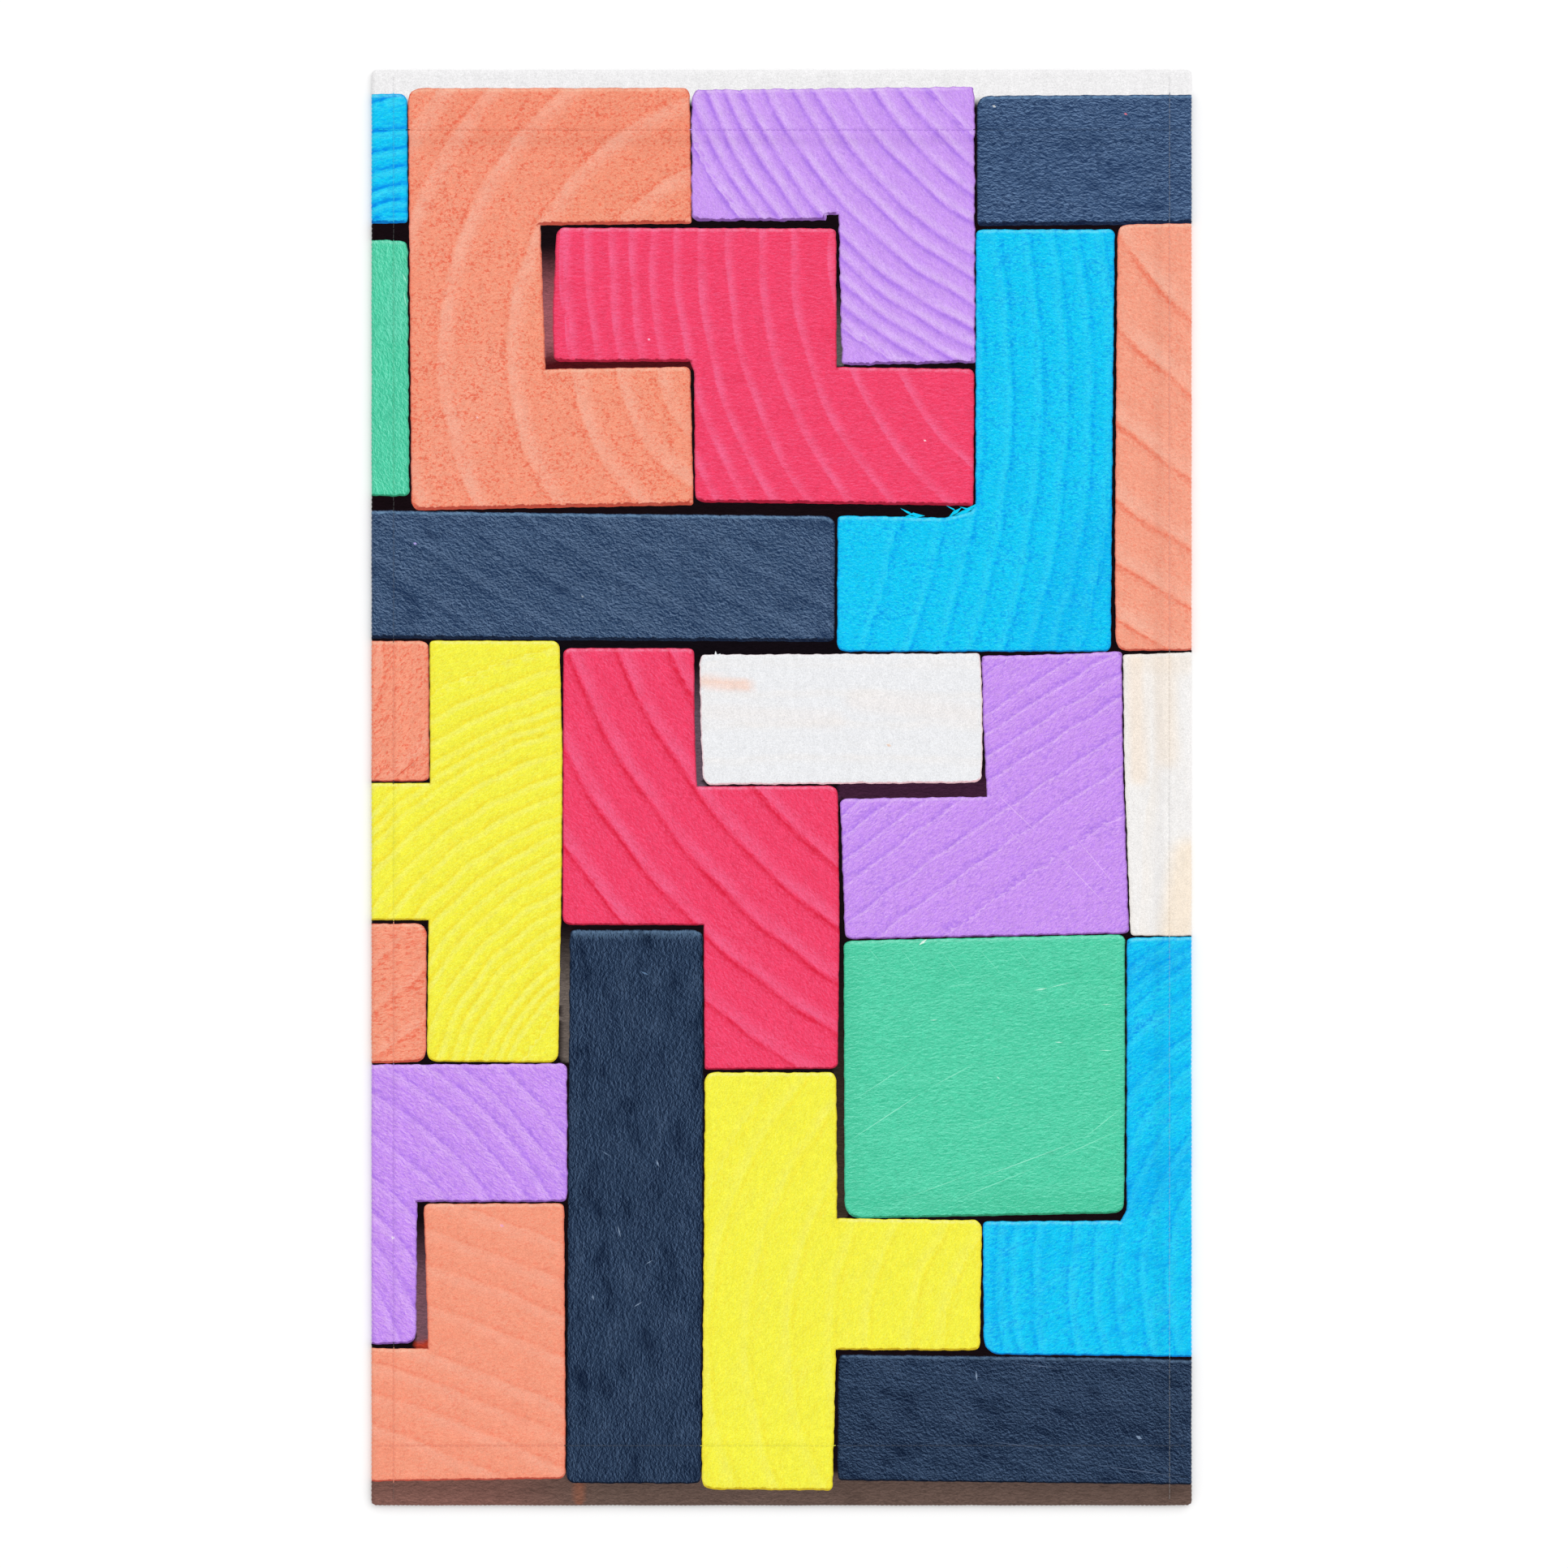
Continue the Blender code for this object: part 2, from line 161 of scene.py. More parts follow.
BLOCKS = [
    block("blue_sliver", "deep_blue",
          [(OFF, 12.4, 0), (17.9, 12.3, 4), (18.1, 76.2, 2), (OFF, 76.6, 0)],
          (25, 135, [63.5, 70, 77.5, 86.5, 95.5, 105.5, 120.5]),
          band=0.45, reach=4.0, line=0.2, after=1.4, specks=0.45, tooth=0.6, stretch=2.2, grain=-8,
          side=1.6),
    block("green_sliver", "green",
          [(OFF, 84.6, 0), (18.0, 84.8, 4), (18.8, 211.2, 3), (OFF, 211.4, 0)],
          (100, 1700, every(1490, 1620, 12, 11)),
          band=0.1, reach=7.0, line=0.0, after=0.1, tooth=2.0, grain=70, mottle=0.5, side=1.0,
          wave=0.25),
    block("orange_c", "orange",
          [(18.3, 9.5, 7), (157.7, 9.3, 4), (158.6, 76.3, 1.5), (83.8, 77.1, 0), (86.3, 148.4, 0),
           (158.0, 147.2, 3), (159.6, 215.7, 2), (19.9, 218.3, 5)],
          (200, 140, [60, 79, 101, 133, 167, 193, 211]),
          band=0.7, reach=11.0, after=0.25, specks=1.15, tooth=0.55, stretch=1.3, grain=-4, side=2.0),
    block("purple_top", "purple",
          [(158.6, 10.4, 5), (298.6, 8.8, 2), (299.1, 145.2, 1.5), (233.1, 146.4, 3), (231.4, 71.8, 0),
           (225.2, 71.8, 0), (225.2, 74.8, 0), (158.7, 75.0, 3)],
          (400, -85, [156, 167, 178, 190, 204, 213, 225, 236, 244, 253, 261, 269]),
          reach=5.2, line=0.1, after=1.5, specks=0.3, stretch=1.8, grain=52, side=1.5, wave=0.3),
    block("navy_top", "navy_light",
          [(299.9, 13.2, 7), (PAST, 12.6, 0), (PAST, 76.6, 0), (300.1, 77.4, 2)],
          (350, 700, every(600, 720, 14, 14)),
          band=0.0, reach=6.0, line=0.0, after=0.0, specks=0.9, tooth=2.2, stretch=1.9, grain=3,
          mottle=0.9, side=2.4),
    block("red_top", "red",
          [(91.7, 78.3, 5), (230.2, 78.7, 3), (230.5, 147.4, 0), (298.7, 148.2, 4), (298.2, 216.0, 1.5),
           (160.3, 214.2, 5), (159.9, 150.0, 1), (157.7, 144.6, 0), (90.6, 144.8, 4), (89.7, 125.0, 8)],
          (390, 90, [143, 164, 183, 199, 215, 229, 241, 253, 263, 273, 285, 296]),
          band=0.55, reach=6.6, line=0.0, after=0.05, specks=0.35, tooth=0.6, stretch=2.2, side=1.6),
    block("blue_j", "blue",
          [(299.5, 79.2, 4), (368.2, 79.2, 3), (367.2, 170.0, 8), (366.2, 288.2, 4), (230.7, 288.2, 5),
           (231.0, 220.8, 3), (284.0, 222.0, 0), (290.4, 220.6, 0), (296.8, 218.6, 0),
           (299.3, 215.6, 0)],
          (-100, 160, [367, 388, 403, 417, 432, 445, 457, 468]),
          band=0.2, reach=6.0, line=0.0, after=0.5, specks=0.8, tooth=0.7, stretch=1.5, grain=2,
          side=0.8, wave=0.16),
    block("orange_right", "pale_orange",
          [(369.6, 76.7, 6), (PAST, 76.3, 0), (PAST, 287.6, 0), (368.7, 287.9, 7), (368.3, 236.0, 8)],
          (585, -70, [263.5, 291.5, 325.5, 355.5, 380.5, 403.5]),
          reach=11.0, line=0.1, after=0.9, stretch=1.4, grain=24, side=1.0),
    block("navy_bar", "navy",
          [(OFF, 218.2, 0), (110.0, 219.9, 8), (229.7, 221.1, 6), (229.3, 283.4, 3), (96.0, 282.6, 8),
           (OFF, 281.6, 0)],
          (765, -870, [1258.5, 1275.5, 1292.5, 1310.5, 1331.5, 1350.5, 1368.5]),
          band=0.28, reach=8.0, line=0.0, specks=0.7, tooth=2.5, stretch=1.3, grain=24, mottle=1.0,
          side=2.0),
    block("orange_tab_1", "orange",
          [(OFF, 283.0, 0), (28.5, 283.0, 5), (28.7, 352.4, 3), (OFF, 352.5, 0)],
          (-30, 295, [37, 69]),
          band=0.4, reach=6.0, line=0.1, specks=1.1, tooth=0.6, grain=-40, side=0.8),
    block("yellow_t_left", "yellow",
          [(28.9, 282.8, 2.5), (93.2, 283.0, 4), (94.7, 340.0, 8), (94.2, 405.0, 8), (92.5, 491.8, 5),
           (27.6, 491.2, 5), (28.4, 421.2, 0), (OFF, 421.2, 0), (OFF, 353.4, 0), (29.1, 353.3, 0)],
          (145, 520, [76, 83, 88, 94, 103.5, 109.5, 116, 124, 134, 141, 150, 159, 169, 178, 189, 199,
                      204, 210, 219, 229, 239]),
          band=0.5, reach=3.4, after=0.65, specks=0.4, tooth=0.45, stretch=1.8, grain=-28, wave=0.1),
    block("red_side", "red",
          [(95.1, 286.5, 4), (159.9, 286.6, 3), (160.2, 330.0, 8), (161.3, 355.0, 0), (231.1, 354.7, 5),
           (231.9, 425.0, 8), (231.0, 494.8, 4), (165.1, 495.2, 1.5), (164.6, 423.7, 0),
           (94.7, 423.6, 5)],
          (410, 170, [287.5, 311, 333.5, 355.5, 379.5]),
          band=0.45, reach=9.0, line=0.0, after=1.2, tooth=0.6, grain=48, wave=0.1),
    block("white_bar", "white_wood",
          [(162.6, 289.8, 3), (301.8, 289.1, 3), (302.8, 325.0, 8), (302.3, 353.2, 5),
           (164.4, 354.2, 5), (163.0, 320.0, 8)],
          (232, 1500, every(1145, 1215, 15, 19)),
          band=0.35, reach=6.0, line=0.1, after=0.1, specks=0.2, tooth=0.3, stretch=2.4, grain=1,
          mottle=0.2, wave=0.2),
    block("purple_j", "deep_purple",
          [(302.3, 290.4, 2), (338.0, 289.7, 8), (371.7, 288.1, 2), (372.3, 345.0, 8),
           (375.3, 427.8, 3), (234.7, 430.7, 4), (232.2, 361.1, 3), (304.9, 360.1, 0),
           (303.1, 325.0, 8)],
          (1150, 1600, [1457, 1476, 1490, 1506, 1516, 1526, 1534, 1550]),
          band=0.12, line=0.75, after=0.6, specks=0.65, tooth=0.9, stretch=1.8, grain=-34, side=0.8,
          wave=0.18),
    block("wood_right", "tan_wood",
          [(372.4, 289.7, 1.5), (PAST, 288.4, 0), (PAST, 428.9, 0), (376.1, 428.9, 2),
           (373.0, 345.0, 8)],
          (900, 430, every(470, 560, 26, 21)),
          band=0.3, reach=8.0, line=0.0, after=0.1, specks=0.15, tooth=0.2, stretch=4.0, grain=88,
          side=0.6),
    block("orange_tab_2", "orange",
          [(OFF, 422.9, 0), (27.4, 422.9, 6), (27.1, 491.4, 6), (OFF, 492.2, 0)],
          (-80, 340, [131.5, 150, 168.5]),
          band=0.4, line=0.1, after=0.5, specks=1.0, tooth=0.7, stretch=2.2, grain=-10, side=1.2),
    block("navy_post", "navy_dark",
          [(98.3, 426.1, 3), (164.1, 426.1, 5), (164.4, 500.0, 8), (163.2, 700.0, 3), (96.9, 699.8, 4),
           (97.5, 560.0, 8)],
          (-900, 560, every(985, 1075, 26, 22)),
          band=0.0, line=0.0, after=0.0, tooth=1.9, stretch=1.4, grain=86, mottle=1.05, side=0.8,
          wave=0.18),
    block("yellow_t_right", "yellow",
          [(165.3, 496.6, 5), (230.3, 496.7, 4), (230.7, 568.9, 0), (302.5, 569.9, 5),
           (301.3, 634.4, 4), (230.1, 634.0, 0), (229.4, 665.0, 8), (228.4, 703.4, 3),
           (163.6, 702.8, 6), (164.6, 600.0, 8)],
          (365, 630, [209, 198, 178, 157.5, 137, 119, 97, 82]),
          band=0.22, reach=7.0, line=0.0, after=0.35, specks=0.3, tooth=0.4, stretch=1.3, grain=-62,
          side=1.1, wave=0.18),
    block("green_square", "green",
          [(234.0, 431.5, 4), (373.2, 428.3, 4), (373.3, 500.0, 8), (372.8, 566.3, 6),
           (234.4, 569.1, 9)],
          (420, 1500, every(920, 1100, 30, 24)),
          band=0.1, reach=8.0, line=0.05, after=0.1, specks=0.45, tooth=1.35, stretch=2.4, grain=-6,
          mottle=0.4, side=1.1, wave=0.12),
    block("blue_right", "deep_blue",
          [(374.2, 429.9, 3), (PAST, 429.2, 0), (PAST, 637.4, 0), (303.4, 636.3, 9), (302.9, 570.4, 3),
           (370.9, 570.1, 0), (374.1, 564.8, 0)],
          (500, 600, [94, 106, 119, 131, 142, 154, 172, 183, 190, 198, 210, 224]),
          band=0.22, line=0.1, after=0.4, specks=0.6, tooth=0.6, stretch=1.8, grain=-22, mottle=0.6,
          side=0.8, wave=0.16),
    block("purple_left", "deep_purple",
          [(OFF, 492.7, 0), (60.0, 492.6, 8), (96.9, 492.1, 4), (97.1, 560.7, 4), (22.7, 560.8, 0),
           (22.2, 630.8, 6), (OFF, 631.2, 0)],
          (-80, 655, [84, 97, 109, 120, 133, 151, 168, 183, 194, 203, 216]),
          band=0.5, line=0.35, after=0.7, specks=0.65, tooth=1.2, stretch=2.0, grain=36, mottle=0.7,
          side=1.0, wave=0.2),
    block("orange_corner", "orange",
          [(26.0, 561.7, 3), (95.5, 561.5, 3), (96.3, 697.5, 4), (60.0, 698.1, 8), (OFF, 699.0, 0),
           (OFF, 632.9, 0), (28.2, 633.4, 0)],
          (-280, 1500, [875, 890.5, 904.5, 917.5, 940, 959, 975, 991]),
          band=0.38, reach=8.0, line=0.15, after=0.35, specks=0.4, tooth=0.35, stretch=1.4, grain=-4),
    block("navy_foot", "navy_dark",
          [(231.4, 636.4, 3), (330.0, 637.4, 8), (PAST, 638.8, 0), (PAST, 700.6, 0), (330.0, 699.6, 8),
           (230.9, 698.4, 3)],
          (360, 1500, every(795, 880, 17, 28)),
          band=0.0, line=0.0, after=0.0, tooth=2.2, stretch=1.15, grain=20, mottle=1.15, side=0.8),
]

# Torn fibres at the edges of the L-shaped blue block and the white one: (tone, outline).
SPLINTERS = [
    ("blue", [(262.0, 217.2), (266.4, 219.0), (268.2, 220.4), (265.6, 219.8)]),
    ("blue", [(263.8, 221.6), (268.4, 219.4), (274.2, 221.0), (270.4, 221.8), (267.6, 220.6)]),
    ("blue", [(262.6, 222.0), (266.8, 220.9), (272.0, 222.0)]),
    ("blue", [(284.6, 215.8), (288.4, 217.4), (290.0, 219.0), (286.6, 217.2)]),
    ("blue", [(285.8, 221.8), (288.2, 218.8), (292.4, 216.8), (290.4, 219.4)]),
    ("blue", [(288.6, 220.8), (292.8, 218.4), (298.8, 217.0), (294.6, 219.6)]),
    ("blue", [(291.4, 216.4), (295.0, 217.2), (299.4, 215.2), (299.4, 216.4), (294.8, 218.2)]),
    ("white_wood", [(169.8, 290.6), (170.5, 287.9), (171.3, 289.7), (172.9, 289.2), (173.2, 290.6)]),
]

PALE_GREEN = (176, 240, 216)
SOFT_GREEN = (146, 234, 204)
FAINT_GREEN = (140, 232, 200)
FAINTER_GREEN = (136, 230, 198)
HAIR_GREEN = (128, 228, 194)
SLIVER_GREEN = (150, 232, 204)
PALE_NAVY = (128, 146, 170)
DIM_NAVY = (96, 112, 138)
PALE_PURPLE = (228, 190, 247)
# Scratches and specks in the paint: (x, y, x, y, width, colour).
SCRATCHES = [
    (271.2, 433.6, 275.2, 430.6, 1.3, (226, 250, 238)),
    (328.6, 456.0, 335.0, 454.9, 0.9, PALE_GREEN),
    (335.0, 454.9, 347.0, 451.9, 0.4, PALE_GREEN),
    (236.0, 531.0, 276.0, 504.6, 0.55, SOFT_GREEN),
    (276.0, 504.6, 301.0, 491.2, 0.45, FAINT_GREEN),
    (238.0, 511.0, 271.0, 489.4, 0.45, FAINTER_GREEN),
    (262.0, 560.0, 302.0, 545.0, 0.45, (130, 226, 192)),
    (296.0, 551.0, 352.0, 530.0, 0.55, SOFT_GREEN),
    (352.0, 530.0, 372.6, 513.4, 0.45, FAINT_GREEN),
    (284.0, 562.0, 334.0, 541.6, 0.45, FAINTER_GREEN),
    (334.0, 541.6, 372.6, 524.4, 0.45, FAINT_GREEN),
    (290.0, 528.0, 318.0, 516.0, 0.4, (120, 224, 188)),
    (276.4, 470.8, 280.6, 470.6, 0.5, PALE_GREEN),
    (338.4, 481.6, 342.6, 481.9, 0.6, PALE_GREEN),
    (361.0, 463.2, 367.0, 462.7, 0.4, PALE_GREEN),
    (360.0, 485.6, 367.4, 486.0, 0.4, PALE_GREEN),
    (285.0, 454.0, 299.0, 452.8, 0.3, FAINT_GREEN),
    (309.6, 498.6, 311.4, 500.0, 0.7, PALE_GREEN),
    (122.0, 572.6, 123.6, 578.4, 0.7, PALE_NAVY),
    (129.8, 612.8, 134.4, 610.2, 0.6, PALE_NAVY),
    (136.0, 591.6, 139.4, 589.6, 0.5, PALE_NAVY),
    (141.2, 539.8, 142.4, 543.4, 0.9, PALE_NAVY),
    (114.0, 535.4, 118.4, 538.2, 0.5, (104, 124, 150)),
    (133.4, 446.6, 137.4, 448.4, 0.9, (96, 124, 156)),
    (109.4, 606.6, 110.2, 609.4, 0.8, PALE_NAVY),
    (299.4, 644.6, 300.0, 649.4, 1.0, PALE_NAVY),
    (307.0, 679.2, 336.0, 683.0, 0.4, DIM_NAVY),
    (358.0, 690.6, 406.0, 697.4, 0.4, DIM_NAVY),
    (320.0, 641.0, 342.0, 643.2, 0.4, (100, 116, 142)),
    (378.6, 676.4, 381.6, 678.0, 1.6, PALE_NAVY),
    (20.8, 234.4, 22.6, 235.0, 1.4, (176, 164, 228)),
    (307.4, 18.0, 309.4, 18.8, 1.3, (190, 196, 200)),
    (372.6, 21.8, 374.4, 22.6, 1.2, (206, 120, 140)),
    (10.0, 577.8, 11.8, 578.8, 1.8, (240, 226, 248)),
    (63.6, 572.0, 65.8, 573.0, 1.5, (244, 168, 190)),
    (136.8, 133.2, 138.2, 134.0, 1.3, (246, 180, 206)),
    (273.4, 183.4, 275.0, 184.0, 1.0, (250, 200, 212)),
    (255.0, 334.2, 257.6, 335.0, 1.6, (240, 214, 198)),
    (12.0, 350.6, 22.6, 341.6, 0.5, (232, 100, 76)),
    (51.8, 172.0, 53.2, 172.6, 1.2, (248, 190, 186)),
    (104.0, 260.4, 105.2, 261.4, 1.0, (150, 160, 172)),
    (306.0, 355.0, 334.0, 382.0, 0.35, PALE_PURPLE),
    (336.0, 384.0, 368.0, 418.0, 0.35, PALE_PURPLE),
    (346.0, 377.0, 371.0, 407.0, 0.35, PALE_PURPLE),
    (310.0, 371.0, 328.0, 389.0, 0.3, (222, 182, 246)),
    (245.0, 433.5, 253.0, 443.0, 0.3, HAIR_GREEN),
    (262.0, 435.0, 271.0, 447.0, 0.3, HAIR_GREEN),
    (281.0, 435.0, 293.0, 450.0, 0.3, HAIR_GREEN),
    (300.0, 434.5, 313.0, 449.0, 0.3, HAIR_GREEN),
    (318.0, 434.0, 327.0, 444.0, 0.3, HAIR_GREEN),
    (15.6, 101.0, 17.6, 106.0, 0.8, SLIVER_GREEN),
    (16.0, 110.0, 17.6, 118.0, 0.7, SLIVER_GREEN),
]

# Soft stains and cloudy places in a block's paint, or in the gaps:
# (block, x, y, x, y, how far they fade, colour, strength).
STAINS = [
    ("white_bar", 164.0, 303.0, 186.0, 305.0, 4.5, (250, 206, 184), 0.75),
    ("white_bar", 165.0, 318.0, 230.0, 322.0, 7.0, (246, 234, 226), 0.30),
    ("white_bar", 240.0, 312.0, 298.0, 320.0, 8.0, (246, 232, 222), 0.30),
    ("wood_right", 378.0, 291.0, 380.0, 350.0, 7.0, (247, 228, 208), 0.65),
    ("wood_right", 392.0, 292.0, 394.0, 340.0, 9.0, (247, 231, 213), 0.55),
    ("wood_right", 382.0, 292.0, 402.0, 294.0, 9.0, (247, 231, 213), 0.40),
    ("wood_right", 405.0, 390.0, 399.0, 428.0, 14.0, (248, 231, 209), 0.85),
    ("navy_post", 101.0, 428.0, 162.0, 428.0, 2.6, (108, 138, 168), 0.55),
    ("gap", 103.0, 700.0, 103.0, 709.0, 3.2, (160, 94, 66), 0.45),
    ("gap", 24.0, 632.0, 29.0, 631.2, 3.4, (206, 72, 50), 0.75),
    ("orange_c", 50.0, 26.0, 152.0, 24.0, 26.0, (238, 134, 102), 0.25),
    ("orange_c", 100.0, 55.0, 150.0, 55.0, 22.0, (238, 138, 104), 0.20),
    ("orange_c", 40.0, 190.0, 60.0, 150.0, 24.0, (246, 172, 146), 0.30),
    ("blue_j", 336.0, 286.0, 362.0, 232.0, 26.0, (16, 178, 238), 0.40),
    ("blue_right", 378.0, 446.0, 404.0, 440.0, 12.0, (14, 160, 236), 0.40),
    ("blue_right", 384.0, 556.0, 404.0, 540.0, 16.0, (14, 164, 238), 0.40),
    ("blue_right", 378.0, 500.0, 400.0, 470.0, 14.0, (18, 190, 242), 0.30),
    ("blue_right", 308.0, 628.0, 314.0, 575.0, 6.0, (16, 178, 238), 0.30),
    ("blue_right", 330.0, 628.0, 334.0, 575.0, 5.0, (16, 178, 238), 0.30),
    ("navy_bar", 20.0, 262.0, 120.0, 240.0, 16.0, (46, 66, 96), 0.50),
    ("navy_bar", 150.0, 268.0, 222.0, 250.0, 14.0, (50, 70, 100), 0.45),
    ("navy_bar", 20.0, 228.0, 90.0, 228.0, 9.0, (76, 98, 130), 0.35),
    ("navy_top", 310.0, 30.0, 398.0, 60.0, 14.0, (54, 76, 112), 0.40),
    ("navy_foot", 240.0, 676.0, 398.0, 672.0, 9.0, (30, 42, 64), 0.45),
    ("navy_foot", 250.0, 652.0, 398.0, 656.0, 8.0, (56, 74, 100), 0.35),
    ("green_square", 236.0, 440.0, 240.0, 562.0, 8.0, (76, 196, 156), 0.5),
    ("green_square", 250.0, 562.0, 366.0, 561.0, 9.0, (74, 194, 154), 0.5),
    ("green_sliver", 4.0, 190.0, 10.0, 160.0, 12.0, (74, 196, 158), 0.35),
    ("green_sliver", 14.0, 100.0, 12.0, 130.0, 8.0, (112, 214, 186), 0.45),
]

# What shows through the gaps between the blocks.
GAP_DARK = (27, 20, 23)
TABLE_WHITE = (241, 240, 241)
TABLE_EDGE = 14.5  # the white table ends about here, and the dark gaps begin
GROUND_EDGE = 697.0  # and the brown ground begins here
GROUND_LEFT = (124, 88, 80)
GROUND_RIGHT = (98, 80, 73)
GROUND_TURN = 95.0  # about where the ground goes over from its left colour to its right one
# Floors of the wider gaps: (left, top, right, bottom, where the dark at its top ends, colour).
GAP_FLOORS = [
    (83.0, 94.0, 92.0, 148.5, 118.0, (154, 90, 97)),
    (86.0, 143.0, 160.0, 149.0, 146.0, (78, 24, 28)),
    (230.0, 112.0, 234.0, 147.0, 140.0, (92, 88, 88)),
    (93.0, 430.0, 99.0, 492.0, 462.0, (106, 96, 90)),
    (22.0, 575.0, 28.6, 629.0, 612.0, (118, 82, 92)),
    (159.0, 300.0, 165.0, 356.0, 326.0, (98, 80, 92)),
    (231.0, 351.0, 306.0, 361.5, 356.0, (64, 36, 56)),
    (229.0, 431.0, 235.5, 569.5, 560.0, (62, 52, 44)),
    (92.0, 281.0, 300.0, 291.0, 284.0, (24, 20, 24)),
]


def smooth(value, low, high):
    """0 below low, 1 above high, and a smooth step between."""
    t = np.clip((value - low) / (high - low), 0.0, 1.0)
    return t * t * (3 - 2 * t)


def blend(a, b, share):
    """Rows of colour between a and b."""
    share = np.asarray(share)[..., None]
    return a * (1 - share) + b * share


def stained(name, paint, x, y):
    """Rows of a block's paint with its soft stains."""
    for on, x0, y0, x1, y1, fade, colour, strength in STAINS:
        if on == name:
            along = np.array([x1 - x0, y1 - y0])
            share = np.clip(((x - x0) * along[0] + (y - y0) * along[1]) / (along @ along), 0, 1)
            distance = np.hypot(x - x0 - share * along[0], y - y0 - share * along[1])
            paint = blend(paint, ink(colour), strength * (1 - smooth(distance, 0.25 * fade, fade)))
    return paint


def gap_colour(x, y):
    """Rows of what shows between the blocks."""
    colour = np.tile(ink(GAP_DARK), (len(x), 1))
    for left, top, right, bottom, full, floor in GAP_FLOORS:
        inside = (x > left) & (x < right) & (y > top - 8) & (y < bottom)
        colour = blend(colour, ink(floor), inside * smooth(y, top - 8, full))
    colour = blend(colour, ink(TABLE_WHITE), 1 - smooth(y, TABLE_EDGE - 1.5, TABLE_EDGE + 4))
    ground = blend(ink(GROUND_LEFT), ink(GROUND_RIGHT), smooth(x, GROUND_TURN - 45, GROUND_TURN + 25))
    ground = ground * (0.88 + 0.30 * smooth(y, GROUND_EDGE + 1, GROUND_EDGE + 14))[:, None]
    return stained("gap", blend(colour, ground, smooth(y, GROUND_EDGE - 4, GROUND_EDGE)), x, y)


# ---- Outlines ----

OUTLINE_STEP = 1.7
CORNER_STEPS = 6


def rounded(corners):
    """The polygon with each corner eased over its rounding distance."""
    points = []
    count = len(corners)
    for k, (x, y, rounding) in enumerate(corners):
        here = Vector((x, y))
        if rounding <= 0:
            points.append(here)
            continue
        back = Vector(corners[k - 1][:2]) - here
        on = Vector(corners[(k + 1) % count][:2]) - here
        start = here + back.normalized() * min(rounding, back.length * 0.45)
        end = here + on.normalized() * min(rounding, on.length * 0.45)
        for step in range(CORNER_STEPS + 1):
            t = step / CORNER_STEPS
            points.append(start * (1 - t) ** 2 + here * 2 * t * (1 - t) + end * t * t)
    return points


def densified(points, step):
    """The closed line with no stretch longer than step."""
    dense = []
    for here, there in zip(points, points[1:] + points[:1]):
        pieces = max(1, round((there - here).length / step))
        dense += [here.lerp(there, k / pieces) for k in range(pieces)]
    return dense


def wavy(points, height, source):
    """The closed line pushed in and out a little, as a hand-cut and painted edge is."""
    turns = [(source.uniform(0, math.tau), 1 / length) for length in (4.7, 7.9, 13.0, 29.0)]
    along = 0.0
    moved = []
    for k, here in enumerate(points):
        before, after = points[k - 1], points[(k + 1) % len(points)]
        tangent = after - before
        normal = Vector((tangent.y, -tangent.x)).normalized()
        push = sum(math.sin(phase + math.tau * along * rate) for phase, rate in turns) / 2
        moved.append(here + normal * push * height)
        along += (after - here).length
    return moved


def block_outline(b, index):
    source = random.Random(100 + index)
    return wavy(densified(rounded(b["corners"]), OUTLINE_STEP), b["wave"], source)


def scratch_outline(scratch):
    x0, y0, x1, y1, width, _ = scratch
    start, end = Vector((x0, y0)), Vector((x1, y1))
    along = (end - start).normalized()
    across = Vector((-along.y, along.x)) * width / 2
    centre = (start + end) / 2
    return [start, centre - across * 0.9, end, centre + across]


# ---- The lie of the cloth ----

FOLD_RADIUS = (HEM_TOP - GAP) / 2  # the printed face turns round the edge in a half circle
FOLD_STEPS = 8
WRAP = FOLD_RADIUS * (math.pi - 1)  # how far it reaches past the towel's edge when it is rolled out flat
CORNER_RADIUS = 2.6 * MM
SLOPE = 7.0 * MM
GROOVE_DEPTH = 0.20 * MM
GROOVE_WIDTH = 0.75 * MM
STITCH_PITCH = 2.7 * MM
SCALLOP_PITCH = 2.2 * MM
SCALLOP_DEPTH = 0.32 * MM
SCALLOP_DRIFT = 0.12 * MM
FIELD_SWELL = 0.22 * MM  # the field's slow waviness
CLOTH_SWELL = 0.05 * MM  # and a quicker one all over
PUCKER_HEIGHT = 0.055 * MM
PUCKER_REACH = 5.5 * MM
TABLE_CLEARANCE = 0.02 * MM  # the least that the face and the back keep off the table


def edge_frame(x, y):
    """For points of the cloth rolled out flat: how far in from the edge they lie, the nearest point of the
    towel's core rectangle, and the way out from it."""
    core_x, core_y = HALF_WIDTH - CORNER_RADIUS, HALF_LENGTH - CORNER_RADIUS
    qx, qy = np.clip(x, -core_x, core_x), np.clip(y, -core_y, core_y)
    dx, dy = x - qx, y - qy
    reach = np.hypot(dx, dy)
    outside = reach > 1e-9
    safe = np.where(outside, reach, 1.0)
    depth = CORNER_RADIUS + np.minimum(core_x - np.abs(x), core_y - np.abs(y))
    inset = np.where(outside, CORNER_RADIUS - reach, depth)
    return inset, qx, qy, dx / safe, dy / safe


def raised(inset, fold):
    """1 over the hem, 0 out in the field."""
    start = fold + GAP
    return 1 - smooth(inset, start, start + SLOPE)


def ripple(x, y, waves):
    """A sum of straight waves, each (length in x, length in y, phase)."""
    return sum(np.sin(math.tau * (x / lx + y / ly) + phase) for lx, ly, phase in waves) / len(waves)


FIELD_WAVES = [(0.31, 0.47, 0.4), (-0.19, 0.33, 2.1), (0.23, -0.16, 4.0), (0.11, 0.29, 1.2)]
CLOTH_WAVES = [(0.052, 0.061, 0.9), (-0.037, 0.044, 2.6), (0.029, -0.033, 5.1)]


